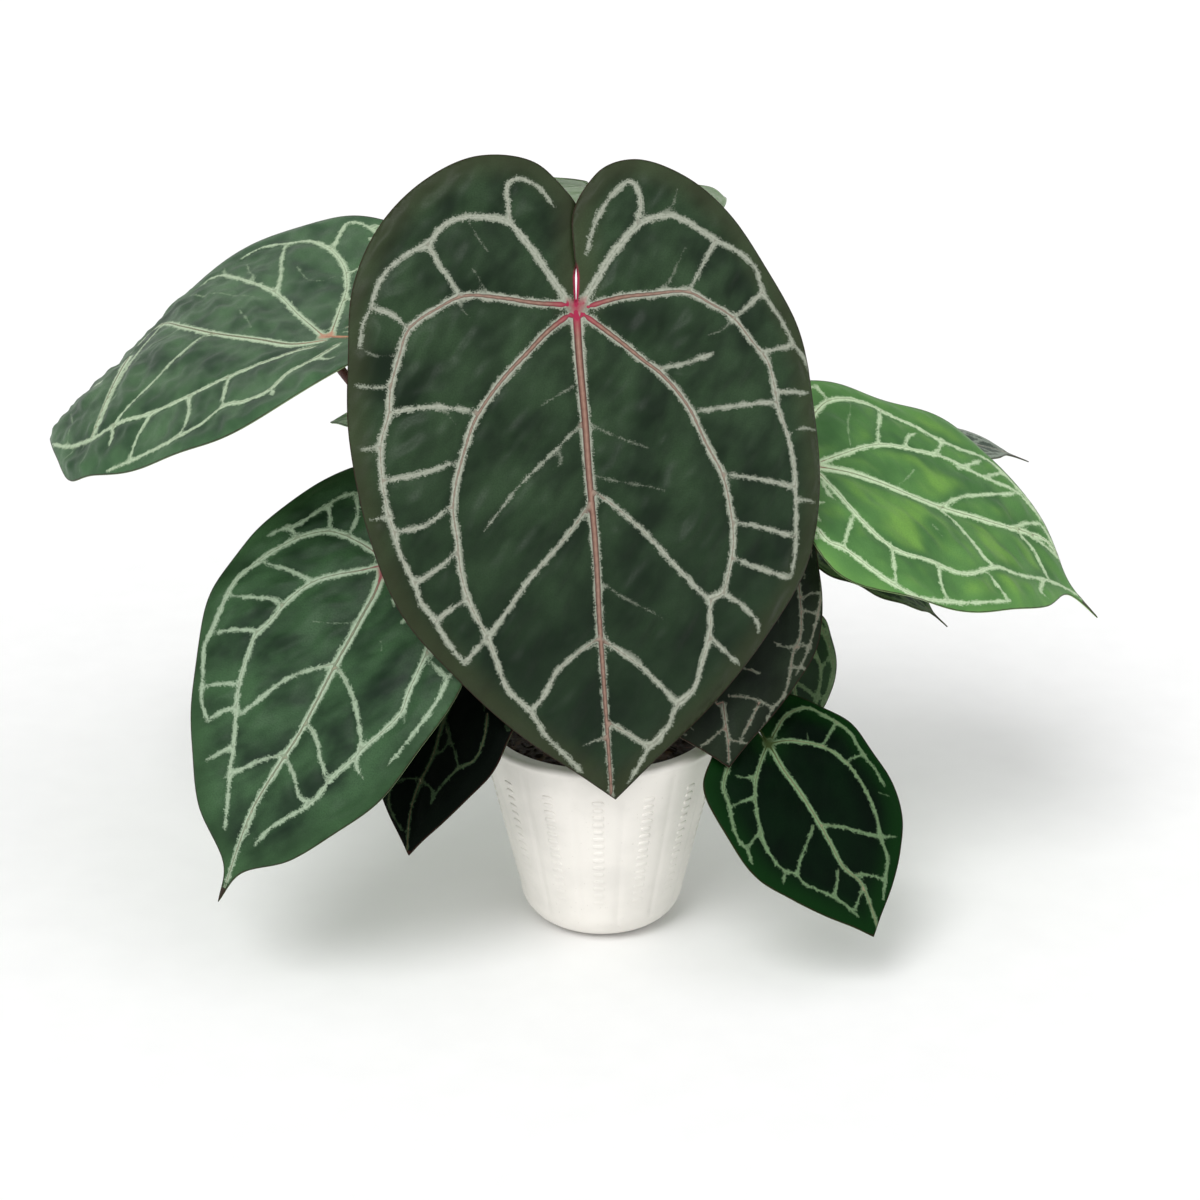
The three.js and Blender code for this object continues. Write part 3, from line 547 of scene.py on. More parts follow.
def smooth_line(points: Array, per_span: int) -> Array:
    """Draws the centripetal curve through the points, the one the solids' outlines follow.

    Args:
        points: The points to pass through, one a row.
        per_span: How many places each span between two points gets.

    Returns:
        The places along the curve, with both ends.
    """
    first = 2 * points[0] - points[1]
    last = 2 * points[-1] - points[-2]
    chain = np.vstack([first, points, last])
    shares = np.linspace(0, 1, per_span, endpoint=False)[:, None]
    places = []
    for p0, p1, p2, p3 in zip(chain, chain[1:], chain[2:], chain[3:]):
        steps = [max(float(np.linalg.norm(b - a)) ** 0.5, 1e-4) for a, b in ((p0, p1), (p1, p2), (p2, p3))]
        before, here, after = steps
        start = ((p1 - p0) / before - (p2 - p0) / (before + here) + (p2 - p1) / here) * here
        end = ((p2 - p1) / here - (p3 - p1) / (here + after) + (p3 - p2) / after) * here
        square = -3 * p1 + 3 * p2 - 2 * start - end
        cube = 2 * p1 - 2 * p2 + start + end
        places.append(p1 + start * shares + square * shares**2 + cube * shares**3)
    places.append(points[-1][None])
    return np.vstack(places)


def read_line(text: str) -> Array:
    """Reads "x,y x,y ..." as an array of points."""
    return np.array([[float(x) for x in pair.split(",")] for pair in text.split()])


def even_line(line: Array, step: float) -> Array:
    """Spaces a line's places evenly.

    Args:
        line: The line's points, one a row.
        step: The wanted distance between places.

    Returns:
        Places about one step apart, with both ends.
    """
    lengths = np.linalg.norm(np.diff(line, axis=0), axis=1)
    run = np.concatenate([[0], np.cumsum(lengths)])
    count = max(int(round(run[-1] / step)), 1)
    marks = np.linspace(0, run[-1], count + 1)
    return np.stack([np.interp(marks, run, line[:, k]) for k in range(line.shape[1])], 1)


def unit(vectors: Array) -> Array:
    """Scales each vector to length 1."""
    return vectors / np.linalg.norm(vectors, axis=-1, keepdims=True)


def softstep(low: float, high: float, values: Array) -> Array:
    """A smooth rise from 0 at low to 1 at high."""
    share = np.clip((values - low) / (high - low), 0, 1)
    return share * share * (3 - 2 * share)


def keep_mesh(
    name: str, places: Array, faces: list, smooth: bool = True, edges: list | None = None,
) -> Piece:
    """Makes a mesh object at the origin.

    Args:
        name: The object's name.
        places: The vertices in millimetres, one a row.
        faces: The faces as lists of vertex indices.
        smooth: Whether its faces are shaded smooth.
        edges: The edges of a path without faces, as pairs of vertex indices.

    Returns:
        The object, linked to the scene.
    """
    mesh = bpy.data.meshes.new(name)
    mesh.from_pydata((places * MM).tolist(), edges or [], faces)
    mesh.polygons.foreach_set("use_smooth", [smooth] * len(mesh.polygons))
    mesh.update()
    piece = bpy.data.objects.new(name, mesh)
    bpy.context.scene.collection.objects.link(piece)
    return piece


def set_attributes(mesh: bpy.types.Mesh, values: dict[str, Array]) -> None:
    """Gives each vertex of a mesh its values.

    Args:
        mesh: The mesh.
        values: A flag, a number or a vector for each vertex, by the attribute's name.
    """
    for name, rows in values.items():
        kind = "BOOLEAN" if rows.dtype == bool else "FLOAT" if rows.ndim == 1 else "FLOAT_VECTOR"
        data = mesh.attributes.new(name, kind, "POINT").data
        data.foreach_set("vector" if rows.ndim > 1 else "value", rows.ravel())


def ring_faces(rings: int, around: int) -> list[list[int]]:
    """Joins rings of vertices to a closed skin between two middle ones.

    Args:
        rings: How many rings follow vertex 0, the first middle. The last middle follows them.
        around: How many vertices each ring has.

    Returns:
        The faces as lists of vertex indices.
    """
    faces = []
    top = 1 + (rings - 1) * around
    for k in range(around):
        after = (k + 1) % around
        faces.append([0, 1 + after, 1 + k])
        for low in range(1, top, around):
            faces.append([low + k, low + after, low + around + after, low + around + k])
        faces.append([top + k, top + after, top + around])
    return faces


def add_node(
    tree: Tree, kind: str, links: dict | None = None, **settings: object,
) -> bpy.types.Node:
    """Adds a node to a tree with its settings and links.

    Args:
        tree: The tree that gets the node.
        kind: The node's type name.
        links: What goes into each input, a socket or a plain value, by the input's name or number.
        settings: The node's own properties.

    Returns:
        The new node.
    """
    node = tree.nodes.new(kind)
    for key, value in settings.items():
        setattr(node, key, value)
    for key, value in (links or {}).items():
        socket = node.inputs[key]
        if isinstance(value, Socket):
            tree.links.new(value, socket)
        else:
            socket.default_value = value
    return node


def open_tree(name: str, inputs: dict[str, str], output: str) -> tuple[Tree, dict]:
    """Starts a Geometry Nodes tree.

    Args:
        name: The tree's name.
        inputs: The types of its inputs by their names, in order.
        output: The name of what it gives.

    Returns:
        The tree and its inputs' sockets by their names.
    """
    tree = bpy.data.node_groups.new(name, "GeometryNodeTree")
    for key, kind in inputs.items():
        tree.interface.new_socket(key, in_out="INPUT", socket_type=f"NodeSocket{kind}")
    tree.interface.new_socket(output, in_out="OUTPUT", socket_type="NodeSocketGeometry")
    given = add_node(tree, "NodeGroupInput")
    return tree, {key: given.outputs[key] for key in inputs}


def close_tree(tree: Tree, shape: Socket, finish: Socket) -> None:
    """Ends a tree: its instances are made real and the whole gets its material.

    Args:
        tree: The tree.
        shape: The geometry.
        finish: The input with the material.
    """
    solid = add_node(tree, "GeometryNodeRealizeInstances", {"Geometry": shape})
    dressed = add_node(tree, "GeometryNodeSetMaterial", {"Geometry": solid.outputs[0], "Material": finish})
    add_node(tree, "NodeGroupOutput", {0: dressed.outputs[0]})


def grow(base: Piece, tree: Tree, name: str, values: dict) -> Piece:
    """Runs a Geometry Nodes tree on an object and keeps the result as a plain mesh.

    Args:
        base: The object that the tree works on. It is removed afterwards.
        tree: The tree.
        name: The new object's name.
        values: The tree's inputs by their names.

    Returns:
        The new object at the origin.
    """
    modifier = base.modifiers.new("grow", "NODES")
    modifier.node_group = tree
    sockets = {s.name: s.identifier for s in tree.interface.items_tree if s.in_out == "INPUT"}
    for key, value in values.items():
        modifier[sockets[key]] = value
    graph = bpy.context.evaluated_depsgraph_get()
    mesh = bpy.data.meshes.new_from_object(base.evaluated_get(graph), depsgraph=graph)
    base.modifiers.remove(modifier)
    bpy.data.objects.remove(base)
    mesh.name = name
    piece = bpy.data.objects.new(name, mesh)
    bpy.context.scene.collection.objects.link(piece)
    return piece


class Kind(Enum):
    """The nodes that finishes are made of: type, settings, the inputs given in order, the output read."""

    PLUS = ("ShaderNodeMath", {"operation": "ADD"}, (0, 1), 0)
    LESS = ("ShaderNodeMath", {"operation": "SUBTRACT"}, (0, 1), 0)
    TIMES = ("ShaderNodeMath", {"operation": "MULTIPLY"}, (0, 1), 0)
    SIZE = ("ShaderNodeMath", {"operation": "ABSOLUTE"}, (0,), 0)
    LEAST = ("ShaderNodeMath", {"operation": "MINIMUM"}, (0, 1), 0)
    RISE = ("ShaderNodeMapRange", {"interpolation_type": "SMOOTHSTEP"}, (0, 1, 2, 3, 4), 0)
    BLEND = ("ShaderNodeMix", {"data_type": "RGBA"}, (0, 6, 7), 2)
    NOISE = ("ShaderNodeTexNoise", {}, ("Vector", "Scale", "Detail", "Roughness"), 0)
    CRACKS = (
        "ShaderNodeTexVoronoi", {"voronoi_dimensions": "2D", "feature": "DISTANCE_TO_EDGE"},
        ("Vector", "Scale"), 0,
    )
    DRAWN = ("ShaderNodeMapping", {"vector_type": "TEXTURE"}, ("Vector", "Rotation", "Scale"), 0)
    PLACE = ("ShaderNodeTexCoord", {}, (), "Object")
    FLAT = ("ShaderNodeUVMap", {"uv_map": "flat"}, (), 0)
    VEIN = ("ShaderNodeAttribute", {"attribute_name": "vein"}, (), "Vector")
    EDGE = ("ShaderNodeAttribute", {"attribute_name": "edge"}, (), "Vector")
    FIRST = ("ShaderNodeSeparateXYZ", {}, (0,), 0)
    SECOND = ("ShaderNodeSeparateXYZ", {}, (0,), 1)
    THIRD = ("ShaderNodeSeparateXYZ", {}, (0,), 2)
    BUMP = ("ShaderNodeBump", {}, ("Height", "Distance", "Strength"), 0)


def per_mm(size: float) -> float:
    """Gives the scale of a pattern whose lumps are size millimetres wide."""
    return 1 / (size * MM)


class Shade:
    """A material's node tree and its principled surface."""

    def __init__(self, name: str) -> None:
        """Makes the material with its output and its principled surface."""
        self.material = bpy.data.materials.new(name)
        self.material.use_nodes = True
        self.tree = self.material.node_tree
        self.tree.nodes.clear()
        self.surface = add_node(self.tree, "ShaderNodeBsdfPrincipled")
        add_node(self.tree, "ShaderNodeOutputMaterial", {"Surface": self.surface.outputs[0]})

    def add(self, kind: Kind, *values: object) -> Socket:
        """Adds a node of this kind with its values or links in order, and gives the output that is read."""
        name, settings, inputs, output = kind.value
        return add_node(self.tree, name, dict(zip(inputs, values)), **settings).outputs[output]

    def patches(self, place: Socket, size: float, rise: Rise, *detail: float) -> Socket:
        """Gives noise with lumps of a size in millimetres, drawn through a soft step."""
        return self.add(Kind.RISE, self.add(Kind.NOISE, place, per_mm(size), *detail), *rise)

    def finish(self, **values: object) -> Finish:
        """Sets the surface's sockets by their names, spaces written as underlines."""
        for key, value in values.items():
            socket = self.surface.inputs[key.replace("_", " ")]
            if isinstance(value, Socket):
                self.tree.links.new(value, socket)
            else:
                socket.default_value = value
        return self.material


@dataclass(frozen=True)
class Sight:
    """The photograph's camera: places in millimetres to pixels of its 1200 by 1200 frame."""

    target: Place = (-1.2, 0.0, 210.0)
    distance: float = 1900.0
    elevation: float = 22.0
    focal: float = 94.2
    sensor: float = 36.0
    frame: float = 1200.0

    def axes(self) -> tuple[Array, Array]:
        """Gives the directions ahead and up of the camera."""
        angle = math.radians(self.elevation)
        ahead = np.array([0.0, math.cos(angle), -math.sin(angle)])
        return ahead, np.array([0.0, math.sin(angle), math.cos(angle)])

    def eye(self) -> Array:
        """Gives the camera's place in millimetres."""
        return np.array(self.target) - self.axes()[0] * self.distance

    def pixels(self, places: Array) -> Array:
        """Gives the pixel of each place."""
        ahead, up = self.axes()
        away = places - self.eye()
        scale = self.focal / self.sensor * self.frame / (away @ ahead)
        return np.stack([self.frame / 2 + away[:, 0] * scale, self.frame / 2 - (away @ up) * scale], 1)


SIGHT = Sight()


@dataclass(frozen=True)
class Search:
    """How the flat place under a pixel is searched for, in millimetres, shares and pixels."""

    slope_step: float = 0.05
    width: float = 1.05
    columns: int = 71
    start: float = -0.33
    end: float = 1.03
    rows: int = 91
    hidden: float = 1e3
    probe: float = 0.5
    rounds: int = 8
    least: float = 1e-3
    stride: float = 2.0
    reach: float = 7.0
    miss: float = 1.5


SEARCH = Search()


class BladeForm:
    """The curved sheet of one blade: flat places (u across, v along) to places in space."""

    def __init__(self, spec: LeafSpec) -> None:
        """Runs the midrib's frames from below the lobes to past the tip."""
        self.spec = spec
        self.low = -LOBE_REACH * spec.length
        self.step = spec.length * (TIP_REACH + LOBE_REACH) / FORM_STEPS
        heading, pitch, roll = (math.radians(a) for a in (spec.heading, spec.pitch, spec.roll))
        ahead = np.array([
            math.sin(heading) * math.cos(pitch), -math.cos(heading) * math.cos(pitch), math.sin(pitch),
        ])
        level = unit(np.cross([0.0, 0.0, 1.0], ahead))
        side = level * math.cos(roll) + np.cross(ahead, level) * math.sin(roll)
        up = np.cross(ahead, side)
        share = (self.low + self.step * np.arange(FORM_STEPS + 1)) / spec.length
        arched = spec.arch[0] * share + spec.arch[1] * share**2
        bend = np.radians(np.where(share > 0, arched, spec.lobe_arch * share))
        turn = np.radians(np.where(share > 0, spec.sway * share, 0))
        along = (
            np.outer(np.cos(bend) * np.cos(turn), ahead)
            + np.outer(np.sin(turn), side)
            - np.outer(np.sin(bend) * np.cos(turn), up)
        )
        path = np.zeros((FORM_STEPS + 1, 3))
        path[1:] = np.cumsum((along[1:] + along[:-1]) / 2 * self.step, axis=0)
        right = unit(side - along * (along @ side)[:, None])
        angle = np.radians(spec.twist * share)[:, None]
        self.right = right * np.cos(angle) + np.cross(along, right) * np.sin(angle)
        self.up = np.cross(along, self.right)
        self.path = path
        self.path = path + np.array(spec.junction, float) - self.frame(path, np.zeros(1))[0]

    def frame(self, rows: Array, v: Array) -> Array:
        """Reads the frames along the midrib.

        Args:
            rows: One vector for each frame.
            v: The places along the midrib.

        Returns:
            The vector at each place.
        """
        place = np.clip((v - self.low) / self.step, 0, FORM_STEPS - 1e-6)
        index = np.floor(place).astype(int)
        share = (place - index)[:, None]
        return rows[index] * (1 - share) + rows[index + 1] * share

    def place(self, u: Array, v: Array) -> Array:
        """Lays flat places on the blade.

        Args:
            u: The places across, above 0 on the right half.
            v: The places along.

        Returns:
            The places in space, in millimetres.
        """
        spec = self.spec
        on_right = u > 0
        width = np.where(on_right, spec.half_width[0], spec.half_width[1])
        rise = np.radians(np.where(on_right, spec.lift[0], spec.lift[1]))
        bend = np.radians(np.where(on_right, spec.curl[0], spec.curl[1]))
        share = np.abs(u) / width
        end = rise + bend * share
        across = (np.sin(end) - np.sin(rise)) / bend * width
        waves = np.sin(v / spec.length * WAVE_TURNS + np.where(on_right, *WAVE_PHASES))
        height = (np.cos(rise) - np.cos(end)) / bend * width + spec.wave * share**3 * waves
        flat = self.frame(self.right, v) * (np.sign(u) * across)[:, None]
        return self.frame(self.path, v) + flat + self.frame(self.up, v) * height[:, None]

    def normal(self, u: Array, v: Array) -> Array:
        """Gives the upper face's normals at flat places."""
        reach = SEARCH.slope_step
        along = self.place(u, v + reach) - self.place(u, v - reach)
        across = self.place(u + reach, v) - self.place(u - reach, v)
        return unit(np.cross(along, across))

    def under(self, spots: Array) -> tuple[Array, Array]:
        """Finds the flat places that the photograph shows at these pixels.

        Args:
            spots: The pixels, one a row.

        Returns:
            The flat places, one a row, and whether each pixel lies on the blade's seen face.
        """
        spec = self.spec
        right, left = spec.half_width
        u, v = np.meshgrid(
            np.linspace(-SEARCH.width * left, SEARCH.width * right, SEARCH.columns),
            np.linspace(SEARCH.start * spec.length, SEARCH.end * spec.length, SEARCH.rows),
        )
        u, v = u.ravel(), v.ravel()
        places = self.place(u, v)
        seen = SIGHT.pixels(places)
        facing = (self.normal(u, v) * (SIGHT.eye() - places)).sum(axis=1) > 0
        hidden = np.where(facing, 0.0, SEARCH.hidden)
        away = np.hypot(spots[:, 0, None] - seen[:, 0], spots[:, 1, None] - seen[:, 1]) + hidden
        pick = away.argmin(axis=1)
        first = np.stack([u[pick], v[pick]], 1)
        flat = first
        probe, stride = SEARCH.probe, SEARCH.stride
        for _ in range(SEARCH.rounds):
            here = SIGHT.pixels(self.place(flat[:, 0], flat[:, 1]))
            across = (SIGHT.pixels(self.place(flat[:, 0] + probe, flat[:, 1])) - here) / probe
            along = (SIGHT.pixels(self.place(flat[:, 0], flat[:, 1] + probe)) - here) / probe
            off = spots - here
            size = across[:, 0] * along[:, 1] - across[:, 1] * along[:, 0]
            size = np.where(np.abs(size) < SEARCH.least, SEARCH.least, size)
            step_u = (off[:, 0] * along[:, 1] - off[:, 1] * along[:, 0]) / size
            step_v = (across[:, 0] * off[:, 1] - across[:, 1] * off[:, 0]) / size
            step = np.clip(np.stack([step_u, step_v], 1), -stride, stride)
            flat = np.clip(flat + step, first - SEARCH.reach, first + SEARCH.reach)
        miss = np.linalg.norm(SIGHT.pixels(self.place(flat[:, 0], flat[:, 1])) - spots, axis=1)
        return flat, miss < SEARCH.miss


@dataclass(frozen=True)
class VelvetLeaf:
    """Leaf skin grown with a velvet of tiny domed cells, and pale raised veins.

    It gives dark soft green with slanting streaks of painted sheen and painted fold shade, a pale net
    with fringed edges and short thorns, reddish tubes along the main veins with a painted highlight on
    their tops and painted shade on their flanks, and a thin dark rim. Lengths are in millimetres. A rise
    is a soft step: where it starts and ends, and its values there.
    """

    spec: LeafSpec

    mottle_and_sheen: float = 42.0
    mottle_and_sheen_rise: Rise = (0.34, 0.66)
    fold_shading: float = 22.0
    fold_shading_draw: float = 1.9
    fold_shading_rise: Rise = (0.36, 0.64)
    patch: float = 26.0
    patch_rise: Rise = (0.42, 0.7)
    patch_gap: Rise = (0.5, 9.0, 0.0, 0.65)
    velvet: float = 0.9
    velvet_rise: Rise = (0.3, 0.75, 0.0, 0.34)
    dusk_span: Pair = (40 * MM, 230 * MM)
    margin_span: Pair = (20.0, 2.0)

    fibre: float = 1.6
    fibre_rise: Rise = (0.3, 0.7, 0.0, 0.3)
    edge_rise: Rise = (-1.3, 0.3, 0.0, 0.4)
    groove_shade_rise: Rise = (1.2, 0.4, 0.0, 0.3)
    tube_span: Pair = (1.15, 0.8)
    lit_rise: Rise = (0.55, 0.0, 0.0, 0.55)
    flank_shade_rise: Rise = (0.45, 0.05, 0.0, 0.95)

    fringe: float = 0.95
    fringe_reach: float = 0.9
    swell: float = 7.0
    swell_reach: float = 0.6
    wander: Pair = (0.3, 0.7)
    thorn_pitch: float = 9.0
    thorn_rise: Rise = (-0.5, 3.4, -0.9, 2.6)
    blunt_rise: Rise = (0.93, 0.85, 0.0, 3.0)
    web_span: Pair = (9.0, 5.0)
    web_reach: float = 2.0
    border: Rise = (0.55, -0.5)

    star_rise: Rise = (7.5, 1.5, 0.0, 0.92)
    red_rise: Rise = (24.0, 4.0, 0.0, 0.8)
    red_core: Rise = (1.3, 0.9)
    rim_rise: Rise = (0.9, 0.3, 0.0, 0.85)
    slit_rim: Rise = (1.8, 0.7)
    slit_root: Rise = (26.0, 16.0)
    back_vein: float = 0.5
    upper_rise: Rise = (0.3, 0.9)
    grain_height: float = 0.5
    vein_height: float = 0.8
    bump: Pair = (0.3 * MM, 0.5)
    sheen_rough: float = 0.4
    ior: float = 1.45

    def skin(self, shade: Shade, flat: Socket, gap: Socket, rim_gap: Socket) -> Socket:
        """Mixes the green between the veins: clouds of random tone and painted sheen, slanting streaks of
        painted sheen and painted fold shade, velvet, painted shade towards the tip and a tinted margin.

        Args:
            shade: The material that gets the nodes.
            flat: The blade's flat map.
            gap: The distance to the next vein's edge.
            rim_gap: The distance to the rim.

        Returns:
            The colour.
        """
        tones = self.spec.tones
        dark = linear(tones.dark)
        # Painted sheen and painted fold shade: slanting streaks of light and dark green along the folds
        drawn = shade.add(Kind.DRAWN, flat, (0.0, 0.0, math.radians(FOLD_SLANT)), (self.fold_shading_draw, 1.0, 1.0))
        folds = shade.patches(drawn, self.fold_shading, self.fold_shading_rise, 3.0, 0.5)
        # Clouds of random tone in the green, which also serve as painted sheen patches
        clouds_and_sheen = shade.patches(flat, self.mottle_and_sheen, self.mottle_and_sheen_rise, 3.0, 0.5)
        folds = shade.add(Kind.TIMES, folds, tones.streaks)
        clouds_and_sheen = shade.add(Kind.TIMES, clouds_and_sheen, 1 - tones.streaks)
        skin = shade.add(Kind.BLEND, shade.add(Kind.PLUS, folds, clouds_and_sheen), dark, linear(tones.light))
        if tones.patch:
            spots = shade.patches(drawn, self.patch, self.patch_rise, 2.0, 0.5)
            spots = shade.add(Kind.TIMES, spots, shade.add(Kind.RISE, gap, *self.patch_gap))
            skin = shade.add(Kind.BLEND, spots, skin, linear(tones.patch))
        skin = shade.add(Kind.BLEND, shade.patches(flat, self.velvet, self.velvet_rise, 2.0), skin, dark)
        # Painted shade: the skin darkens towards the tip, along the flat map's length
        dusk = shade.add(Kind.RISE, shade.add(Kind.SECOND, flat), *self.dusk_span, 0.0, tones.dusk)
        skin = shade.add(Kind.BLEND, dusk, skin, dark)
        rim_tint = shade.add(Kind.RISE, rim_gap, *self.margin_span, 0.0, tones.rim_share)
        return shade.add(Kind.BLEND, rim_tint, skin, linear(tones.rim))

    def net(self, shade: Shade, flat: Socket, gap: Socket, core: Socket, red: Socket) -> Socket:
        """Mixes the veins' colours: pale flesh with a duller edge, painted shade in a groove at the core, and
        a reddish tube with a painted highlight on its top and painted shade on its flanks.

        Args:
            shade: The material that gets the nodes.
            flat: The blade's flat map.
            gap: The distance to the next vein's edge.
            core: The place across the vein's core, as a share of it.
            red: How red the core is.

        Returns:
            The colour.
        """
        tones = self.spec.tones
        light = linear(tones.light)
        fibres = shade.patches(flat, self.fibre, self.fibre_rise, 3.0, 0.6)
        tube = shade.add(Kind.RISE, core, *self.tube_span, 0.0, tones.core_share)
        # Painted highlight along the tube's top
        lit = shade.add(Kind.RISE, core, *self.lit_rise)
        # Painted shade on the tube's flanks
        flank = shade.add(Kind.SIZE, shade.add(Kind.LESS, core, 1.0))
        flank = shade.add(Kind.RISE, flank, *self.flank_shade_rise)
        coats = (
            (shade.add(Kind.RISE, gap, *self.edge_rise), light),
            # Painted shade: a darker line along the vein's core, standing for a shaded groove
            (shade.add(Kind.RISE, core, *self.groove_shade_rise), linear(tones.dark)),
            (shade.add(Kind.TIMES, tube, red), linear(tones.core)),
            (shade.add(Kind.TIMES, lit, red), linear(TUBE_LIT)),
            (shade.add(Kind.TIMES, flank, red), linear(TUBE_FLANK_SHADE)),
        )
        flesh = shade.add(Kind.BLEND, fibres, linear(tones.vein), light)
        for share, colour in coats:
            flesh = shade.add(Kind.BLEND, share, flesh, colour)
        return flesh

    def vein_share(self, shade: Shade, flat: Socket, gap: Socket, tone: Socket, root_gap: Socket) -> Socket:
        """Gives how far each spot is on a vein: fringed, with thorns, and joined to a web at the root.

        Args:
            shade: The material that gets the nodes.
            flat: The blade's flat map.
            gap: The distance to the next vein's edge.
            tone: How strong the vein is.
            root_gap: The distance to the junction.

        Returns:
            The share, from 0 to 1.
        """
        scale = self.spec.vein_scale
        cracks = shade.add(Kind.CRACKS, flat, per_mm(self.thorn_pitch))
        cracks = shade.add(Kind.TIMES, cracks, self.thorn_pitch)
        thorns = shade.add(Kind.PLUS, cracks, shade.add(Kind.RISE, gap, *self.thorn_rise))
        thorns = shade.add(Kind.PLUS, thorns, shade.add(Kind.RISE, tone, *self.blunt_rise))
        place = shade.add(Kind.LEAST, gap, thorns)
        waves = ((self.fringe, self.fringe_reach, 3.0, 0.75), (self.swell, self.swell_reach, 2.0))
        for size, reach, *detail in waves:
            rise = (*self.wander, -reach * scale, reach * scale)
            place = shade.add(Kind.PLUS, place, shade.patches(flat, size, rise, *detail))
        start, end = self.web_span
        web = shade.add(Kind.RISE, root_gap, start * scale, end * scale, 0.0, self.web_reach)
        place = shade.add(Kind.LESS, place, web)
        return shade.add(Kind.TIMES, shade.add(Kind.RISE, place, *self.border), tone)

    def material(self) -> Finish:
        """Builds the leaf's material from its tones."""
        tones = self.spec.tones
        shade = Shade(f"velvet_leaf_grown_{self.spec.name}")
        flat = shade.add(Kind.FLAT)
        vein, edge = shade.add(Kind.VEIN), shade.add(Kind.EDGE)
        gap, tone, core = (shade.add(part, vein) for part in (Kind.FIRST, Kind.SECOND, Kind.THIRD))
        rim_gap, root_gap, face = (shade.add(part, edge) for part in (Kind.FIRST, Kind.SECOND, Kind.THIRD))
        upper = shade.add(Kind.RISE, face, *self.upper_rise)
        red = shade.add(Kind.TIMES, shade.add(Kind.LESS, face, upper), RED_PARTS)
        on_vein = self.vein_share(shade, flat, gap, tone, root_gap)

        star = shade.add(Kind.RISE, shade.add(Kind.PLUS, root_gap, gap), *self.star_rise)
        tube_star = shade.add(Kind.TIMES, shade.add(Kind.RISE, root_gap, *self.red_rise), red)
        tube_star = shade.add(Kind.TIMES, tube_star, shade.add(Kind.RISE, core, *self.red_core))
        rim_slit = shade.add(Kind.RISE, rim_gap, *self.slit_rim)
        slit = shade.add(Kind.TIMES, rim_slit, shade.add(Kind.RISE, root_gap, *self.slit_root))
        coats = (
            (on_vein, self.net(shade, flat, gap, core, red)),
            (shade.add(Kind.PLUS, star, tube_star), linear(tones.root)),
            (shade.add(Kind.RISE, rim_gap, *self.rim_rise), linear(LEAF_RIM)),
            (slit, linear(tones.root)),
        )
        colour = self.skin(shade, flat, gap, rim_gap)
        for share, coat in coats:
            colour = shade.add(Kind.BLEND, share, colour, coat)
        back = shade.add(Kind.TIMES, on_vein, self.back_vein)
        back = shade.add(Kind.BLEND, back, linear(tones.under), linear(tones.vein))

        grain = shade.add(Kind.NOISE, flat, per_mm(self.velvet), 2.0)
        height = shade.add(Kind.TIMES, grain, self.grain_height)
        height = shade.add(Kind.PLUS, height, shade.add(Kind.TIMES, on_vein, self.vein_height))
        return shade.finish(
            Base_Color=shade.add(Kind.BLEND, upper, back, colour),
            Roughness=shade.add(Kind.RISE, grain, 0.2, 0.8, tones.rough - 0.06, tones.rough + 0.1),
            Normal=shade.add(Kind.BUMP, height, *self.bump),
            Sheen_Weight=tones.sheen,
            Sheen_Roughness=self.sheen_rough,
            Sheen_Tint=linear(SHEEN_TINT),
            Specular_IOR_Level=tones.gloss,
            IOR=self.ior,
        )


@dataclass(frozen=True)
class NetMeasure:
    """How each flat place lies to the net.

    The gap to a vein's edge and its tone, the place across the core as a share of it and its
    redness, and the same gap and half width for the veins that stand up.
    """

    gap: Array
    tone: Array
    core: Array
    red: Array
    struct: Array
    width: Array


@dataclass(frozen=True)
class Layout:
    """How a blade's lines are laid out: shares of its sizes, rows of the shared lines, millimetres."""

    full_from: float = 0.1
    full_span: float = 0.2
    slim_rise: float = 1.4
    slim_start: float = 0.4
    lean_reach: float = 0.3
    rim_steps: int = 12
    vein_steps: int = 6
    rung_rows: tuple[int, ...] = (6, 8, 10, 12)
    side_rows: tuple[int, ...] = (7, 10, 12)
    side_climb: int = 2
    side_last: int = 13
    pixel_step: float = 3.0
    jump: float = 12.0
    step: float = 1.5
    mark_step: float = 1.0
    clear: float = 4.0
    vein_points: float = 0.8
    rim_clear: float = 1.2
    row_share: float = 0.866
    grid_clear: float = 0.55
    weld: float = 1e-4


@dataclass(frozen=True)
class SinusFold:
    """How the lobes' inner edges close over the slit: shares of the length, and millimetres."""

    closing: Pair = (0.045, 0.1)
    opening: Pair = (0.2, 0.27)
    reach: float = 14.0
    gap: float = 3.2
    gap_share: float = 0.1
    gap_most: float = 1.6
    heights: Pair = (1.6, -0.6)


@dataclass(frozen=True)
class Relief:
    """The low relief of a blade and its net, in millimetres and shares of a height."""

    fillet: float = 1.1
    step: float = 0.8
    end_width: float = 0.25
    end_taper: float = 5.0
    core_power: float = 3.0
    red_power: float = 1.5
    least_core: float = 0.35
    fillet_reach: float = 6.0
    far: float = 1e3
    margin: float = 9.0
    rim_step: float = 0.7
    ridge: float = 0.75
    ridge_share: float = 0.8
    ridge_least: float = 0.6
    ridge_at_rim: float = 0.35
    puff_reach: float = 5.5
    puff_share: float = 0.8
    fold_share: float = 0.85
    rib_reach: float = 3.0
    rib_red: float = 0.2
    folds: tuple[tuple[float, ...], ...] = ((1.6, 34.0, 14.0, 3.7), (1.0, 13.0, 7.0, 9.1))


LAYOUT = Layout()
SINUS = SinusFold()
RELIEF = Relief()


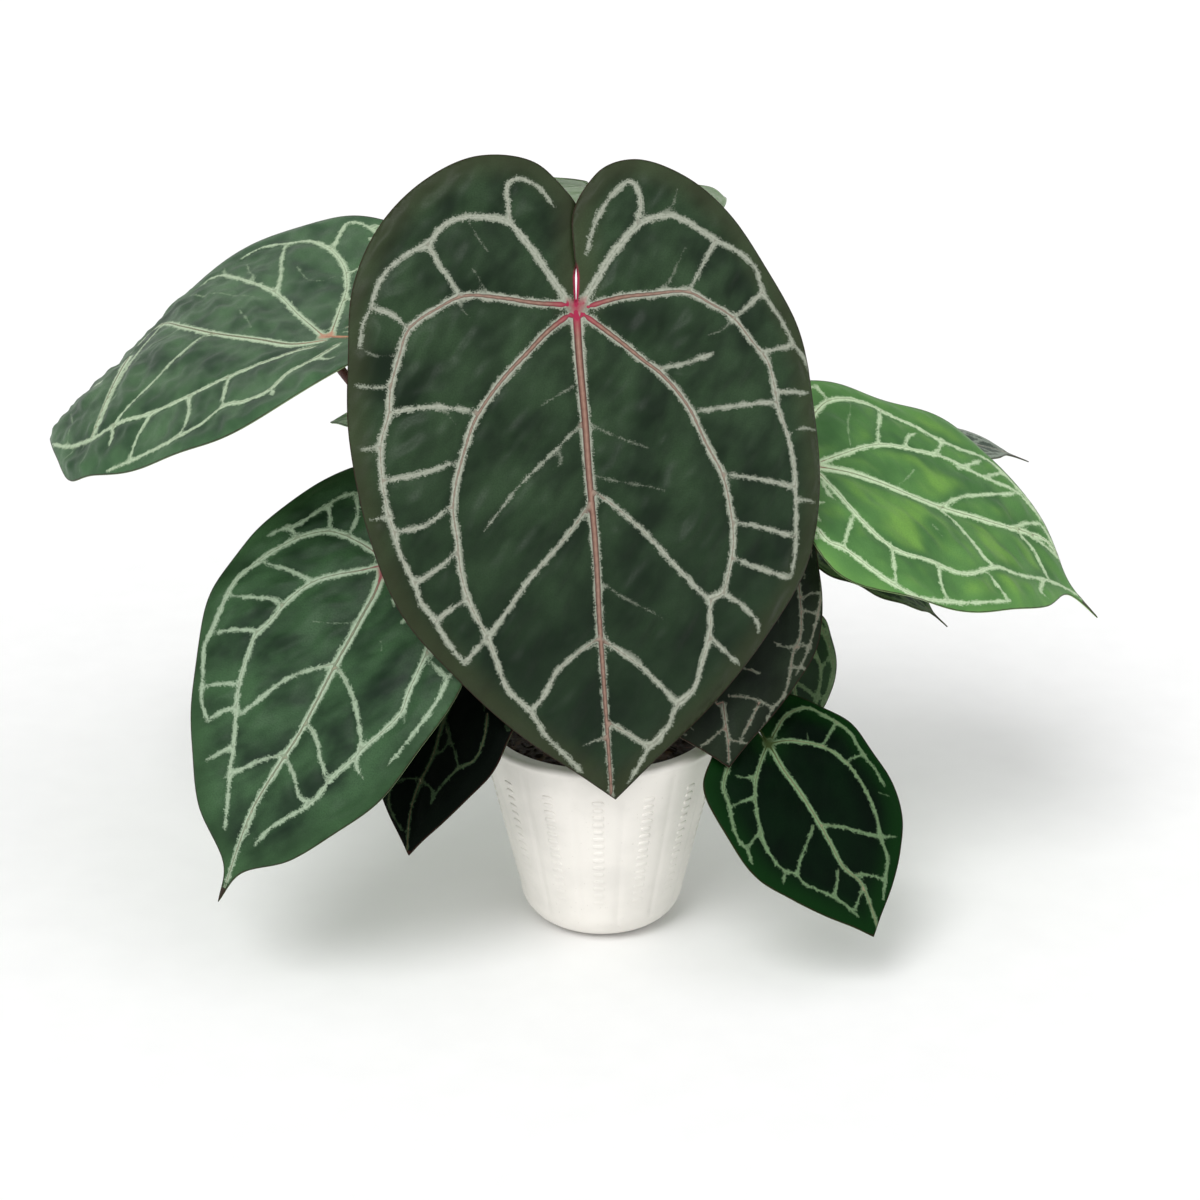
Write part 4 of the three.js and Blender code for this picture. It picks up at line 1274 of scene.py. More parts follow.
@dataclass
class Blade:
    """One leaf blade: its outline, its net and its two puffed faces."""

    spec: LeafSpec

    def __post_init__(self) -> None:
        """Lays out the blade's form."""
        self.form = BladeForm(self.spec)

    def sized(self, shares: tuple[Pair, ...], side: int) -> Array:
        """Sizes one of the shared lines for this blade.

        Args:
            shares: The line's points as shares of the half width and the length.
            side: 0 for the right half, 1 for the left.

        Returns:
            The line's points in flat millimetres.
        """
        spec = self.spec
        sign = 1 if side == 0 else -1
        places = []
        for row, (x, y) in enumerate(shares):
            wide = 1 + (spec.fuller[side] - 1) * min(max((LAYOUT.full_from - y) / LAYOUT.full_span, 0), 1)
            along = min(max(y * LAYOUT.slim_rise - LAYOUT.slim_start, 0), 1)
            drawn = 1 - spec.slim[side] * math.sin(math.pi * along)
            pointed = POINTED if spec.drip > 0 and row == len(shares) - 2 else 1.0
            v = y * spec.length * (spec.lobes[side] if y < 0 else 1)
            lean = -spec.sinus_lean * v * max(0, 1 - x / LAYOUT.lean_reach) if y < 0 else 0.0
            u = sign * x * wide * drawn * pointed * spec.half_width[side] + lean
            places.append((u, v + (spec.drip if row == len(shares) - 1 else 0)))
        return np.array(places)

    def outline(self) -> Array:
        """Gives the margin as one closed loop of flat places."""
        right, left = (
            even_line(smooth_line(self.sized(MARGIN, side), LAYOUT.rim_steps), self.spec.spacing)
            for side in (0, 1)
        )
        return np.vstack([right, left[-2:0:-1]])

    def seen_outline(self) -> Array:
        """Gives the margin's pixels in the photograph's frame."""
        loop = self.outline()
        return SIGHT.pixels(self.form.place(loop[:, 0], loop[:, 1]))

    def shared_net(self) -> list[Vein]:
        """Gives the plain net: midrib, two rings of loops each side, and cross veins."""
        steps = LAYOUT.vein_steps
        veins = [Vein(Rank.MIDRIB, smooth_line(self.sized(MIDRIB, 0), steps))]
        for side in (0, 1):
            inner, outer, lobe, rim, middle = (
                self.sized(line, side) for line in (INNER_VEIN, OUTER_VEIN, LOBE_VEIN, MARGIN, MIDRIB)
            )
            veins += [Vein(Rank.MAIN, smooth_line(line[:-1], steps)) for line in (inner, outer)]
            veins.append(Vein(Rank.RUNG, smooth_line(lobe[:-2], steps)))
            for row in LAYOUT.rung_rows:
                veins.append(Vein(Rank.RUNG, np.vstack([inner[row], outer[row]])))
                veins.append(Vein(Rank.FINE, np.vstack([outer[row], (outer[row] + rim[row] * 2) / 3])))
            for row in LAYOUT.side_rows:
                end = inner[min(row + LAYOUT.side_climb, LAYOUT.side_last)]
                veins.append(Vein(Rank.SIDE, np.vstack([middle[row], end])))
        return veins

    def seen_net(self) -> list[Vein]:
        """Gives the veins that the photograph shows, laid on the blade."""
        net = self.spec.net
        groups = (
            (Rank.MIDRIB, (net.midrib,)), (Rank.MAIN, net.main), (Rank.LOBE, net.lobes),
            (Rank.RUNG, net.rungs), (Rank.SIDE, net.sides), (Rank.TWIG, net.twigs), (Rank.FINE, net.fine),
        )
        veins = []
        for rank, texts in groups:
            for text in texts:
                spots = even_line(smooth_line(read_line(text), LAYOUT.vein_steps), LAYOUT.pixel_step)
                flat, seen = self.form.under(spots)
                jump = np.concatenate([[0], np.linalg.norm(np.diff(flat, axis=0), axis=1)])
                part = np.cumsum(jump > LAYOUT.jump)
                for index in range(part[-1] + 1):
                    run = flat[(part == index) & seen]
                    if len(run) > 2:
                        veins.append(Vein(rank, even_line(run, LAYOUT.step)))
        return veins

    def veins(self, covers: list[Array]) -> list[Vein]:
        """Gives the blade's net: its own where the photograph shows it, and the shared one elsewhere.

        Args:
            covers: The outlines, in pixels, of the leaves that hide parts of this one.

        Returns:
            The veins.
        """
        shared = self.shared_net()
        if not self.spec.net.midrib:
            return shared
        seen = self.seen_net()
        marks = np.vstack([even_line(vein.line, LAYOUT.mark_step) for vein in seen])
        veins = list(seen)
        for vein in shared:
            line = even_line(vein.line, LAYOUT.step)
            spots = SIGHT.pixels(self.form.place(line[:, 0], line[:, 1]))
            hidden = np.zeros(len(line), bool)
            for cover in covers:
                hidden |= self.inside(spots, cover)
            hidden &= self.nearest(line, marks)[0] > LAYOUT.clear
            starts = np.flatnonzero(np.diff(np.concatenate([[0], hidden.astype(int), [0]])))
            for start, end in zip(starts[::2], starts[1::2]):
                if end - start > 4:
                    veins.append(Vein(vein.rank, line[max(start - 2, 0) : end + 2]))
        return veins

    @staticmethod
    def inside(points: Array, loop: Array) -> Array:
        """Tells which points lie inside a closed loop.

        Args:
            points: The points, one a row.
            loop: The loop's corners.

        Returns:
            A flag for each point.
        """
        x, y = points[:, 0, None], points[:, 1, None]
        x0, y0 = loop[:, 0], loop[:, 1]
        x1, y1 = np.roll(x0, -1), np.roll(y0, -1)
        span = np.where(y1 == y0, 1e-9, y1 - y0)
        crossing = ((y0 > y) != (y1 > y)) & (x < (x1 - x0) * (y - y0) / span + x0)
        return crossing.sum(axis=1) % 2 == 1

    @staticmethod
    def nearest(points: Array, marks: Array, offsets: Array | float = 0.0) -> tuple[Array, Array]:
        """Finds for each point the least distance to the marks less their offsets.

        Args:
            points: The flat places, one a row.
            marks: The places measured to.
            offsets: What each mark takes off its distance.

        Returns:
            The least distance and the index of its mark, for each point.
        """
        gaps = np.empty(len(points))
        picks = np.empty(len(points), int)
        for start in range(0, len(points), 1500):
            block = points[start : start + 1500]
            away = np.hypot(block[:, 0, None] - marks[:, 0], block[:, 1, None] - marks[:, 1]) - offsets
            pick = away.argmin(axis=1)
            picks[start : start + 1500] = pick
            gaps[start : start + 1500] = away[np.arange(len(block)), pick]
        return gaps, picks

    def triangulate(self, loop: Array, veins: list[Vein]) -> tuple[Array, list]:
        """Cuts the flat blade into triangles that follow its outline and its veins.

        Args:
            loop: The closed outline.
            veins: The net's veins.

        Returns:
            The flat places and the triangles.
        """
        spacing = self.spec.spacing
        coords = [tuple(p) for p in loop]
        edges = []
        for vein in veins:
            line = even_line(vein.line, spacing * LAYOUT.vein_points)
            free = self.inside(line, loop) & (self.nearest(line, loop)[0] > LAYOUT.rim_clear)
            start = len(coords)
            coords += [tuple(p) for p in line]
            edges += [(start + i, start + i + 1) for i in range(len(line) - 1) if free[i] and free[i + 1]]
            coords[start:] = [tuple(p) if ok else coords[0] for p, ok in zip(line, free)]
        low, high = loop.min(axis=0), loop.max(axis=0)
        rows = np.arange(low[1], high[1], spacing * LAYOUT.row_share)
        grid = np.array([
            (x + (spacing / 2 if k % 2 else 0), y)
            for k, y in enumerate(rows) for x in np.arange(low[0], high[0], spacing)
        ])
        grid = grid[self.inside(grid, loop)]
        grid = grid[self.nearest(grid, np.array(coords))[0] > spacing * LAYOUT.grid_clear]
        coords += [tuple(p) for p in grid]
        ring = list(range(len(loop)))
        result = delaunay_2d_cdt([Vector(c) for c in coords], edges, [ring], 1, LAYOUT.weld)
        return np.array([tuple(p) for p in result[0]]), [list(f) for f in result[2]]

    def fold_sinus(self, flat: Array, loop: Array) -> Array:
        """Shifts the two lobes' inner edges over each other above the slit at the junction.

        Args:
            flat: The flat places.
            loop: The closed outline.

        Returns:
            The shift of each place, in millimetres.
        """
        spec = self.spec
        if spec.sinus_lean == 0:
            return np.zeros((len(flat), 3))
        share = -flat[:, 1] / spec.length
        closed = softstep(*SINUS.closing, share) * (1 - softstep(*SINUS.opening, share))
        lean = -spec.sinus_lean * np.minimum(flat[:, 1], 0)
        off = flat[:, 0] - lean
        near = closed * np.exp(-np.abs(off) / SINUS.reach)
        side = np.sign(off)
        right, up = (self.form.frame(rows, flat[:, 1]) for rows in (self.form.right, self.form.up))
        gap = SINUS.gap * np.clip(share / SINUS.gap_share, 0, SINUS.gap_most)
        height = np.where(side > 0, *SINUS.heights) * near
        return -right * (side * near * gap)[:, None] + up * height[:, None]

    def measure(self, flat: Array, veins: list[Vein]) -> NetMeasure:
        """Measures each flat place against the net, with fillets where veins meet.

        Args:
            flat: The flat places.
            veins: The net's veins.

        Returns:
            The distances and tones.
        """
        scale = self.spec.vein_scale
        soft = RELIEF.fillet * scale
        total = np.zeros(len(flat))
        gap = np.full(len(flat), RELIEF.far)
        struct, core = gap.copy(), gap.copy()
        tone, width, red = np.ones(len(flat)), np.ones(len(flat)), np.zeros(len(flat))
        for vein in veins:
            line = even_line(vein.line, RELIEF.step)
            size = VeinSize(*vein.rank.value)
            share = np.linspace(0, 1, len(line))
            run = np.minimum(share, 1 - share) * len(line) * RELIEF.step
            ends = RELIEF.end_width + run / (RELIEF.end_taper * scale)
            widths = scale * size.along(size.start, size.end, share) * np.minimum(ends, 1)
            away, pick = self.nearest(flat, line, widths)
            total += np.exp(-np.clip(away, -9, 40) / soft)
            tone = np.where(away < gap, size.tone, tone)
            gap = np.minimum(gap, away)
            if vein.rank is not Rank.FINE:
                width = np.where(away < struct, widths[pick], width)
                struct = np.minimum(struct, away)
                half = size.along(size.core_start, size.core_end, share, RELIEF.core_power) * widths
                half = np.maximum(half * self.spec.tones.core_width, RELIEF.least_core)
                place = (away + widths[pick]) / half[pick]
                redness = size.along(size.red_start, size.red_end, share, RELIEF.red_power)
                red = np.where(place < core, redness[pick], red)
                core = np.minimum(core, place)
        merged = -soft * np.log(np.maximum(total, 1e-12))
        gap = np.where(gap < RELIEF.fillet_reach, np.minimum(gap, merged), gap)
        return NetMeasure(gap, tone, core, red, struct, width)

    @staticmethod
    def lumps(flat: Array) -> Array:
        """Gives the soft folds between the veins, drawn out aslant.

        Args:
            flat: The flat places.

        Returns:
            The folds' height at each, about -1.3 to 1.3.
        """
        slant = math.radians(FOLD_SLANT)
        along = flat @ np.array([math.cos(slant), math.sin(slant)])
        across = flat @ np.array([-math.sin(slant), math.cos(slant)])
        return np.array([
            sum(rise * noise.noise(Vector((a / long, c / wide, at))) for rise, long, wide, at in RELIEF.folds)
            for a, c in zip(along, across)
        ])

    def build(self, covers: list[Array]) -> Piece:
        """Builds the blade's mesh with its relief, its flat map and its net's attributes.

        Args:
            covers: The outlines, in pixels, of the leaves that hide parts of this one.

        Returns:
            The blade.
        """
        spec = self.spec
        loop = self.outline()
        veins = self.veins(covers)
        flat, cells = self.triangulate(loop, veins)
        corners = flat[np.array(cells)]
        first, second = corners[:, 1] - corners[:, 0], corners[:, 2] - corners[:, 0]
        area = first[:, 0] * second[:, 1] - first[:, 1] * second[:, 0]
        cells = [c if a > 0 else c[::-1] for c, a in zip(cells, area)]

        net = self.measure(flat, veins)
        rim = self.nearest(flat, even_line(np.vstack([loop, loop[:1]]), RELIEF.rim_step))[0]
        root = np.hypot(flat[:, 0], flat[:, 1])
        fade = softstep(0, RELIEF.margin, rim)
        middle = np.maximum(net.struct + net.width, 0)
        ridge = np.exp(-(middle / np.maximum(net.width * RELIEF.ridge_share, RELIEF.ridge_least)) ** 2)
        ridge = RELIEF.ridge * ridge * (RELIEF.ridge_at_rim + (1 - RELIEF.ridge_at_rim) * fade)
        puff = spec.puff * (1 - np.exp(-np.maximum(net.struct, 0) / RELIEF.puff_reach)) * fade
        relief = ridge + puff * (RELIEF.puff_share + RELIEF.fold_share * self.lumps(flat))
        rib = np.exp(-(middle / RELIEF.rib_reach) ** 2) * (net.red > RELIEF.rib_red)
        below = relief - BLADE_THICK - rib * fade
        u, v = flat[:, 0], flat[:, 1]
        sheet, normal = self.form.place(u, v), self.form.normal(u, v)
        sheet = sheet + self.fold_sinus(flat, loop)
        upper = sheet + normal * relief[:, None]
        lower = sheet + normal * below[:, None]

        count = len(flat)
        faces = cells + [[count + i for i in reversed(c)] for c in cells]
        sides = dict.fromkeys(pair for cell in cells for pair in zip(cell, cell[1:] + cell[:1]))
        faces += [[b, a, count + a, count + b] for a, b in sides if (b, a) not in sides]
        piece = keep_mesh(f"leaf_blade_{spec.name}", np.vstack([upper, lower]), faces)
        mesh = piece.data
        uv = mesh.uv_layers.new(name="flat")
        index = np.empty(len(mesh.loops), int)
        mesh.loops.foreach_get("vertex_index", index)
        uv.data.foreach_set("uv", (np.vstack([flat, flat])[index] * MM).ravel())
        face = np.repeat([1.0, 0.0], count)
        set_attributes(mesh, {
            "vein": np.tile(np.stack([net.gap, net.tone, net.core], 1), (2, 1)),
            "edge": np.stack([np.tile(rim, 2), np.tile(root, 2), face + np.tile(net.red, 2) / RED_PARTS], 1),
        })
        return piece

    def dress(self, piece: Piece) -> None:
        """Gives the blade its finish and its place in the frame."""
        piece.data.materials.append(VelvetLeaf(self.spec).material())
        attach(piece, "root")
        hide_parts(f"blade_{self.spec.name}")


class StalkCurve:
    """The path of one leaf's stalk, from its hole in the bark to the blade's junction."""

    def __init__(self, spec: LeafSpec, angle: float) -> None:
        """Lays the path as a straight foot, one bend and a straight joint.

        Args:
            spec: The leaf.
            angle: The direction of the stalk's foot from the crown, in radians.
        """
        foot = np.array([
            STALK_RING * math.cos(angle), STALK_RING * math.sin(angle), SOIL_LEVEL - BURIED,
        ])
        sprout = foot + np.array([0, 0, BURIED + SPROUT])
        normal = BladeForm(spec).normal(np.zeros(1), np.zeros(1))[0]
        end = np.array(spec.junction, float) - normal * (BLADE_THICK + RIB_BELOW)
        reach = float(np.linalg.norm(end - sprout))
        neck = end - normal * JOINT_STRAIGHT
        rising = sprout + np.array([0, 0, reach * RISING])
        leaving = neck - normal * min(LEAVING * reach, spec.neck)
        share = np.linspace(0, 1, STALK_POINTS)[:, None]
        bend = (
            sprout * (1 - share) ** 3 + rising * 3 * share * (1 - share) ** 2
            + leaving * 3 * share**2 * (1 - share) + neck * share**3
        )
        self.places = even_line(np.vstack([foot, bend, end]), STALK_STEP)

    def radii(self, stalk: float) -> Array:
        """Gives the stalk's radius at each place: swollen at its foot and in its joint."""
        share = np.linspace(0, 1, len(self.places))
        steps = np.linalg.norm(np.diff(self.places, axis=0), axis=1)
        left = steps.sum() * (1 - share)
        drawn = 1 - JOINT_END[1] * softstep(JOINT_END[0], 0, left)
        joint = softstep(JOINT_LENGTH, JOINT_LENGTH * JOINT_EASE, left) * drawn
        return stalk * (FOOT_SWELL - TOP_DRAW * share) * (1 + (JOINT_SWELL - 1) * joint)


@dataclass(frozen=True)
class StalkSkin:
    """Leaf stalk skin, grown: it gives maroon over green, fine lengthwise fibres and a soft gloss."""

    dark: str = "#3c141c"
    light: str = "#6d3a30"
    green: str = "#4d5c2c"
    speck: str = "#a58a6a"
    fibre: float = 0.9
    drift: float = 40.0
    drift_rise: Rise = (0.42, 0.7, 0.0, 0.55)
    fleck: float = 1.6
    fleck_rise: Rise = (0.66, 0.72, 0.0, 0.5)
    rough_rise: Rise = (0.2, 0.8, 0.38, 0.52)
    bump: Pair = (0.25 * MM, 0.5)

    def material(self) -> Finish:
        """Builds the stalk's material."""
        shade = Shade("stalk_skin_grown")
        place = shade.add(Kind.PLACE)
        long = shade.add(Kind.DRAWN, place, (0.0, 0.0, 0.0), (1.0, 1.0, 8.0))
        fibres = shade.add(Kind.NOISE, long, per_mm(self.fibre), 3.0, 0.6)
        drift = shade.patches(place, self.drift, self.drift_rise)
        specks = shade.patches(place, self.fleck, self.fleck_rise, 1.0)
        colour = shade.add(Kind.BLEND, fibres, linear(self.dark), linear(self.light))
        colour = shade.add(Kind.BLEND, drift, colour, linear(self.green))
        colour = shade.add(Kind.BLEND, specks, colour, linear(self.speck))
        return shade.finish(
            Base_Color=colour, Roughness=shade.add(Kind.RISE, fibres, *self.rough_rise),
            Normal=shade.add(Kind.BUMP, fibres, *self.bump), IOR=1.45,
        )


@dataclass
class Stalks:
    """The twelve leaf stalks, each a tube that Geometry Nodes sweeps along its path."""

    sides: int = 16
    skin: StalkSkin = StalkSkin()

    @staticmethod
    def foot_angle(index: int) -> float:
        """Gives the direction of a stalk's foot: they stand round the crown in their leaves' order."""
        bearings = [math.atan2(spec.junction[1], spec.junction[0]) for spec in PLANT]
        order = sorted(range(len(PLANT)), key=lambda i: bearings[i])
        return bearings[order[0]] + order.index(index) / len(PLANT) * 2 * math.pi

    def sweep_tree(self) -> Tree:
        """Builds the tree that sweeps a round section along a path of points with a radius."""
        inputs = {"Path": "Geometry", "Sides": "Int", "Skin": "Material"}
        tree, given = open_tree("stalk_sweep", inputs, "Stalk")
        curve = add_node(tree, "GeometryNodeMeshToCurve", {"Mesh": given["Path"]})
        width = add_node(tree, "GeometryNodeInputNamedAttribute", {"Name": "stalk_radius"}, data_type="FLOAT")
        section = add_node(
            tree, "GeometryNodeCurvePrimitiveCircle", {"Resolution": given["Sides"], "Radius": 1.0},
        )
        radius = {"Curve": curve.outputs[0], "Radius": width.outputs[0]}
        swept = add_node(tree, "GeometryNodeSetCurveRadius", radius)
        tube = add_node(tree, "GeometryNodeCurveToMesh", {
            "Curve": swept.outputs[0], "Profile Curve": section.outputs[0], "Fill Caps": True,
        })
        if "Scale" in tube.inputs:
            tree.links.new(width.outputs[0], tube.inputs["Scale"])
        soft = add_node(tree, "GeometryNodeSetShadeSmooth", {"Geometry": tube.outputs[0]})
        close_tree(tree, soft.outputs[0], given["Skin"])
        return tree

    def build(self) -> None:
        """Sweeps each stalk and gives it its place in the frame."""
        tree = self.sweep_tree()
        skin = self.skin.material()
        for index, spec in enumerate(PLANT):
            curve = StalkCurve(spec, self.foot_angle(index))
            steps = [(i, i + 1) for i in range(len(curve.places) - 1)]
            path = keep_mesh(f"stalk_path_{spec.name}", curve.places, [], edges=steps)
            set_attributes(path.data, {"stalk_radius": curve.radii(spec.stalk) * MM})
            piece = grow(path, tree, f"stalk_{spec.name}", {"Sides": self.sides, "Skin": skin})
            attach(piece, "root")
            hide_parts(f"petiole_{spec.name}")
            LOG.info("%s: %d faces", piece.name, len(piece.data.polygons))


@dataclass(frozen=True)
class GlazedCeramic:
    """Slip-cast white ceramic with a satin glaze.

    It gives a warm white with a broad soft highlight, a slightly uneven skin and small grey
    pits scattered over it.
    """

    white: str = "#f1ede6"
    shade_tone: str = "#dcd9d2"
    pit_tone: str = "#c9c4ba"
    cloud: float = 32.0
    cloud_rise: Rise = (0.4, 0.72, 0.0, 0.5)
    ripple: float = 14.0
    pit: float = 1.7
    pit_rise: Rise = (0.72, 0.78, 0.0, 0.35)
    grain: float = 0.9
    grain_height: float = 0.12
    rough_rise: Rise = (0.2, 0.8, 0.36, 0.5)
    bump: Pair = (0.35 * MM, 0.35)

    def material(self) -> Finish:
        """Builds the glaze."""
        shade = Shade("glazed_ceramic_slip_cast")
        place = shade.add(Kind.PLACE)
        cloud = shade.patches(place, self.cloud, self.cloud_rise, 3.0)
        grain = shade.add(Kind.NOISE, place, per_mm(self.grain), 2.0)
        ripple = shade.add(Kind.NOISE, place, per_mm(self.ripple), 2.0)
        pits = shade.patches(place, self.pit, self.pit_rise, 1.0)
        colour = shade.add(Kind.BLEND, cloud, linear(self.white), linear(self.shade_tone))
        colour = shade.add(Kind.BLEND, pits, colour, linear(self.pit_tone))
        height = shade.add(Kind.PLUS, shade.add(Kind.TIMES, grain, self.grain_height), ripple)
        return shade.finish(
            Base_Color=colour, Roughness=shade.add(Kind.RISE, grain, *self.rough_rise),
            Normal=shade.add(Kind.BUMP, height, *self.bump), IOR=1.5, Coat_Weight=0.15, Coat_Roughness=0.3,
        )


@dataclass
class Planter:
    """The white planter: a fine turned wall with soft panels, and its columns of raised dashes."""

    panels: int = 14
    panel_turn: float = -2.0
    crease: float = 0.4
    crease_width: float = 0.075
    panel_round: float = 0.35
    crease_low: Pair = (4.0, 20.0)
    crease_high: Pair = (2.0, 12.0)
    corner_rows: int = 16
    wall_rows: int = 60
    foot_flat: float = 20.0
    dash_width: float = 7.4
    dash_height: float = 3.2
    dash_pitch: float = 5.4
    dash_relief: float = 0.8
    dash_top: float = 110.0
    dash_rows: int = 16
    fade_low: float = 30.0
    fade_high: float = 108.0
    around: int = 336
    glaze: GlazedCeramic = GlazedCeramic()

    @staticmethod
    def radius(z: float) -> float:
        """Gives the outer radius at a height."""
        if z > BOTTOM_ROUND:
            return RIM_RADIUS - (POT_HEIGHT - z) * WALL_SLOPE
        corner = RIM_RADIUS - (POT_HEIGHT - BOTTOM_ROUND) * WALL_SLOPE
        drop = BOTTOM_ROUND - z
        arc = math.sqrt(max(BOTTOM_ROUND**2 - drop**2, 0))
        return corner - BOTTOM_ROUND + arc - drop * FOOT_DRAW

    def profile(self) -> Array:
        """Gives the wall's section from the foot's middle, out, up, over the lip and down inside."""
        foot = [(0, 0), (self.foot_flat, 0), (self.radius(0) - 1.5, 0)]
        turns = np.linspace(0.12, math.pi / 2, self.corner_rows)
        corner = [BOTTOM_ROUND * (1 - math.cos(a)) for a in turns]
        wall = list(np.linspace(BOTTOM_ROUND, POT_HEIGHT - LIP_ROUND - 2, self.wall_rows))[1:]
        outside = [(self.radius(z), z) for z in corner + wall]
        lip_middle = (RIM_RADIUS - LIP_ROUND, POT_HEIGHT - LIP_ROUND)
        turn = np.linspace(-0.05, math.pi, 15)
        inner_edge = RIM_RADIUS - LIP_WIDTH + LIP_ROUND
        lip = [
            (lip_middle[0] + LIP_ROUND * math.cos(a), lip_middle[1] + LIP_ROUND * math.sin(a))
            for a in turn[:8]
        ]
        lip += [
            (inner_edge + LIP_ROUND * math.cos(a), lip_middle[1] + LIP_ROUND * math.sin(a))
            for a in turn[7:]
        ]
        thin = WALL_THICK
        inside = [
            (self.radius(POT_HEIGHT - 8) - thin, POT_HEIGHT - 8), (self.radius(80) - thin, 80),
            (self.radius(30) - thin, 30), (self.radius(30) - thin - 14, FLOOR_THICK), (0, FLOOR_THICK),
        ]
        return np.array(foot + outside + lip + inside)

    def wall(self) -> tuple[Array, list]:
        """Turns the section round, drawing the wall in at the creases between the panels."""
        section = self.profile()
        count = len(section)
        angle = np.arange(self.around) / self.around * 2 * math.pi
        turned = (angle - math.radians(self.panel_turn) + math.pi / 2) * self.panels / (2 * math.pi)
        off = np.abs(turned - np.round(turned))
        dip = np.exp(-(((0.5 - off) / self.crease_width) ** 2)) + self.panel_round * softstep(0.2, 0.5, off)
        outer = np.zeros(count)
        outer[3 : 3 + self.corner_rows + self.wall_rows - 1] = 1
        below = POT_HEIGHT - section[:, 1]
        fade = softstep(*self.crease_low, section[:, 1]) * softstep(*self.crease_high, below)
        radius = section[:, 0][:, None] - self.crease * (outer * fade)[:, None] * dip[None]
        places = np.stack([
            radius * np.cos(angle), radius * np.sin(angle), np.repeat(section[:, 1][:, None], self.around, 1),
        ], 2).reshape(-1, 3)
        keep = np.arange(self.around, (count - 1) * self.around)
        places = np.vstack([[[0, 0, 0]], places[keep], [[0, 0, FLOOR_THICK]]])
        return places, ring_faces(count - 2, self.around)

    def dash(self) -> Piece:
        """Builds one raised dash: a low rounded pad, X along its width and Z out of the wall."""
        places, faces = [], []
        rings = ((1.0, -0.35), (0.94, 0.35), (0.72, 0.85), (0.0, 1.0))
        steps = 14
        for size, height in rings[:-1]:
            for k in range(steps):
                a = 2 * math.pi * k / steps
                x = abs(math.cos(a)) ** 0.55 * math.copysign(1, math.cos(a))
                y = abs(math.sin(a)) ** 0.8 * math.copysign(1, math.sin(a))
                places.append((
                    x * (self.dash_width / 2) * (1 - (1 - size) * 0.5), y * self.dash_height / 2 * size,
                    height * self.dash_relief,
                ))
        places.append((0, 0, self.dash_relief))
        for ring in range(2):
            for k in range(steps):
                after = (k + 1) % steps
                low = ring * steps
                faces.append([low + k, low + after, low + steps + after, low + steps + k])
        faces += [[2 * steps + k, 2 * steps + (k + 1) % steps, 3 * steps] for k in range(steps)]
        return keep_mesh("pot_dash", np.array(places, float), faces)

    def dash_tree(self) -> Tree:
        """Builds the tree that sets a dash on each marked place of the wall, as high as it says."""
        inputs = {"Wall": "Geometry", "Dash": "Object", "Glaze": "Material"}
        tree, given = open_tree("dash_columns", inputs, "Pot")
        marked, turn, size = (
            add_node(tree, "GeometryNodeInputNamedAttribute", {"Name": name}, data_type=kind).outputs[0]
            for name, kind in (
                ("dash_place", "BOOLEAN"), ("dash_turn", "FLOAT_VECTOR"), ("dash_size", "FLOAT_VECTOR"),
            )
        )
        shape = add_node(tree, "GeometryNodeObjectInfo", {"Object": given["Dash"]})
        placed = add_node(tree, "GeometryNodeInstanceOnPoints", {
            "Points": given["Wall"], "Selection": marked, "Instance": shape.outputs["Geometry"],
            "Rotation": turn, "Scale": size,
        })
        marks = {"Geometry": given["Wall"], "Selection": marked}
        loose = add_node(tree, "GeometryNodeDeleteGeometry", marks, domain="POINT")
        joined = add_node(tree, "GeometryNodeJoinGeometry")
        tree.links.new(loose.outputs[0], joined.inputs[0])
        tree.links.new(placed.outputs[0], joined.inputs[0])
        close_tree(tree, joined.outputs[0], given["Glaze"])
        return tree

    def build(self) -> Piece:
        """Builds the pot and gives it its finish and its place in the frame."""
        places, faces = self.wall()
        marks, turns, sizes = [], [], []
        lean = math.atan(WALL_SLOPE)
        for panel in range(self.panels):
            middle = panel * 2 * math.pi / self.panels + math.radians(self.panel_turn) - math.pi / 2
            for row in range(self.dash_rows):
                z = self.dash_top - (row + 0.5) * self.dash_pitch
                fade = float(softstep(self.fade_low, self.fade_high, np.array([z]))[0])
                if z < self.fade_low:
                    continue
                radius = self.radius(z)
                marks.append((radius * math.cos(middle), radius * math.sin(middle), z))
                turns.append((math.pi / 2 + lean, 0.0, middle + math.pi / 2))
                sizes.append((1 - 0.12 * (row % 3 == 1), 1, 0.15 + 0.85 * fade))
        base = keep_mesh("pot_wall", np.vstack([places, marks]), faces)
        count = len(places)
        flat = np.zeros((count, 3))
        set_attributes(base.data, {
            "dash_place": np.arange(count + len(marks)) >= count,
            "dash_turn": np.vstack([flat, turns]),
            "dash_size": np.vstack([flat + 1, sizes]),
        })
        dash = self.dash()
        piece = grow(base, self.dash_tree(), "planter_pot", {"Dash": dash, "Glaze": self.glaze.material()})
        bpy.data.objects.remove(dash)
        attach(piece, "root")
        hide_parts("pot")
        return piece


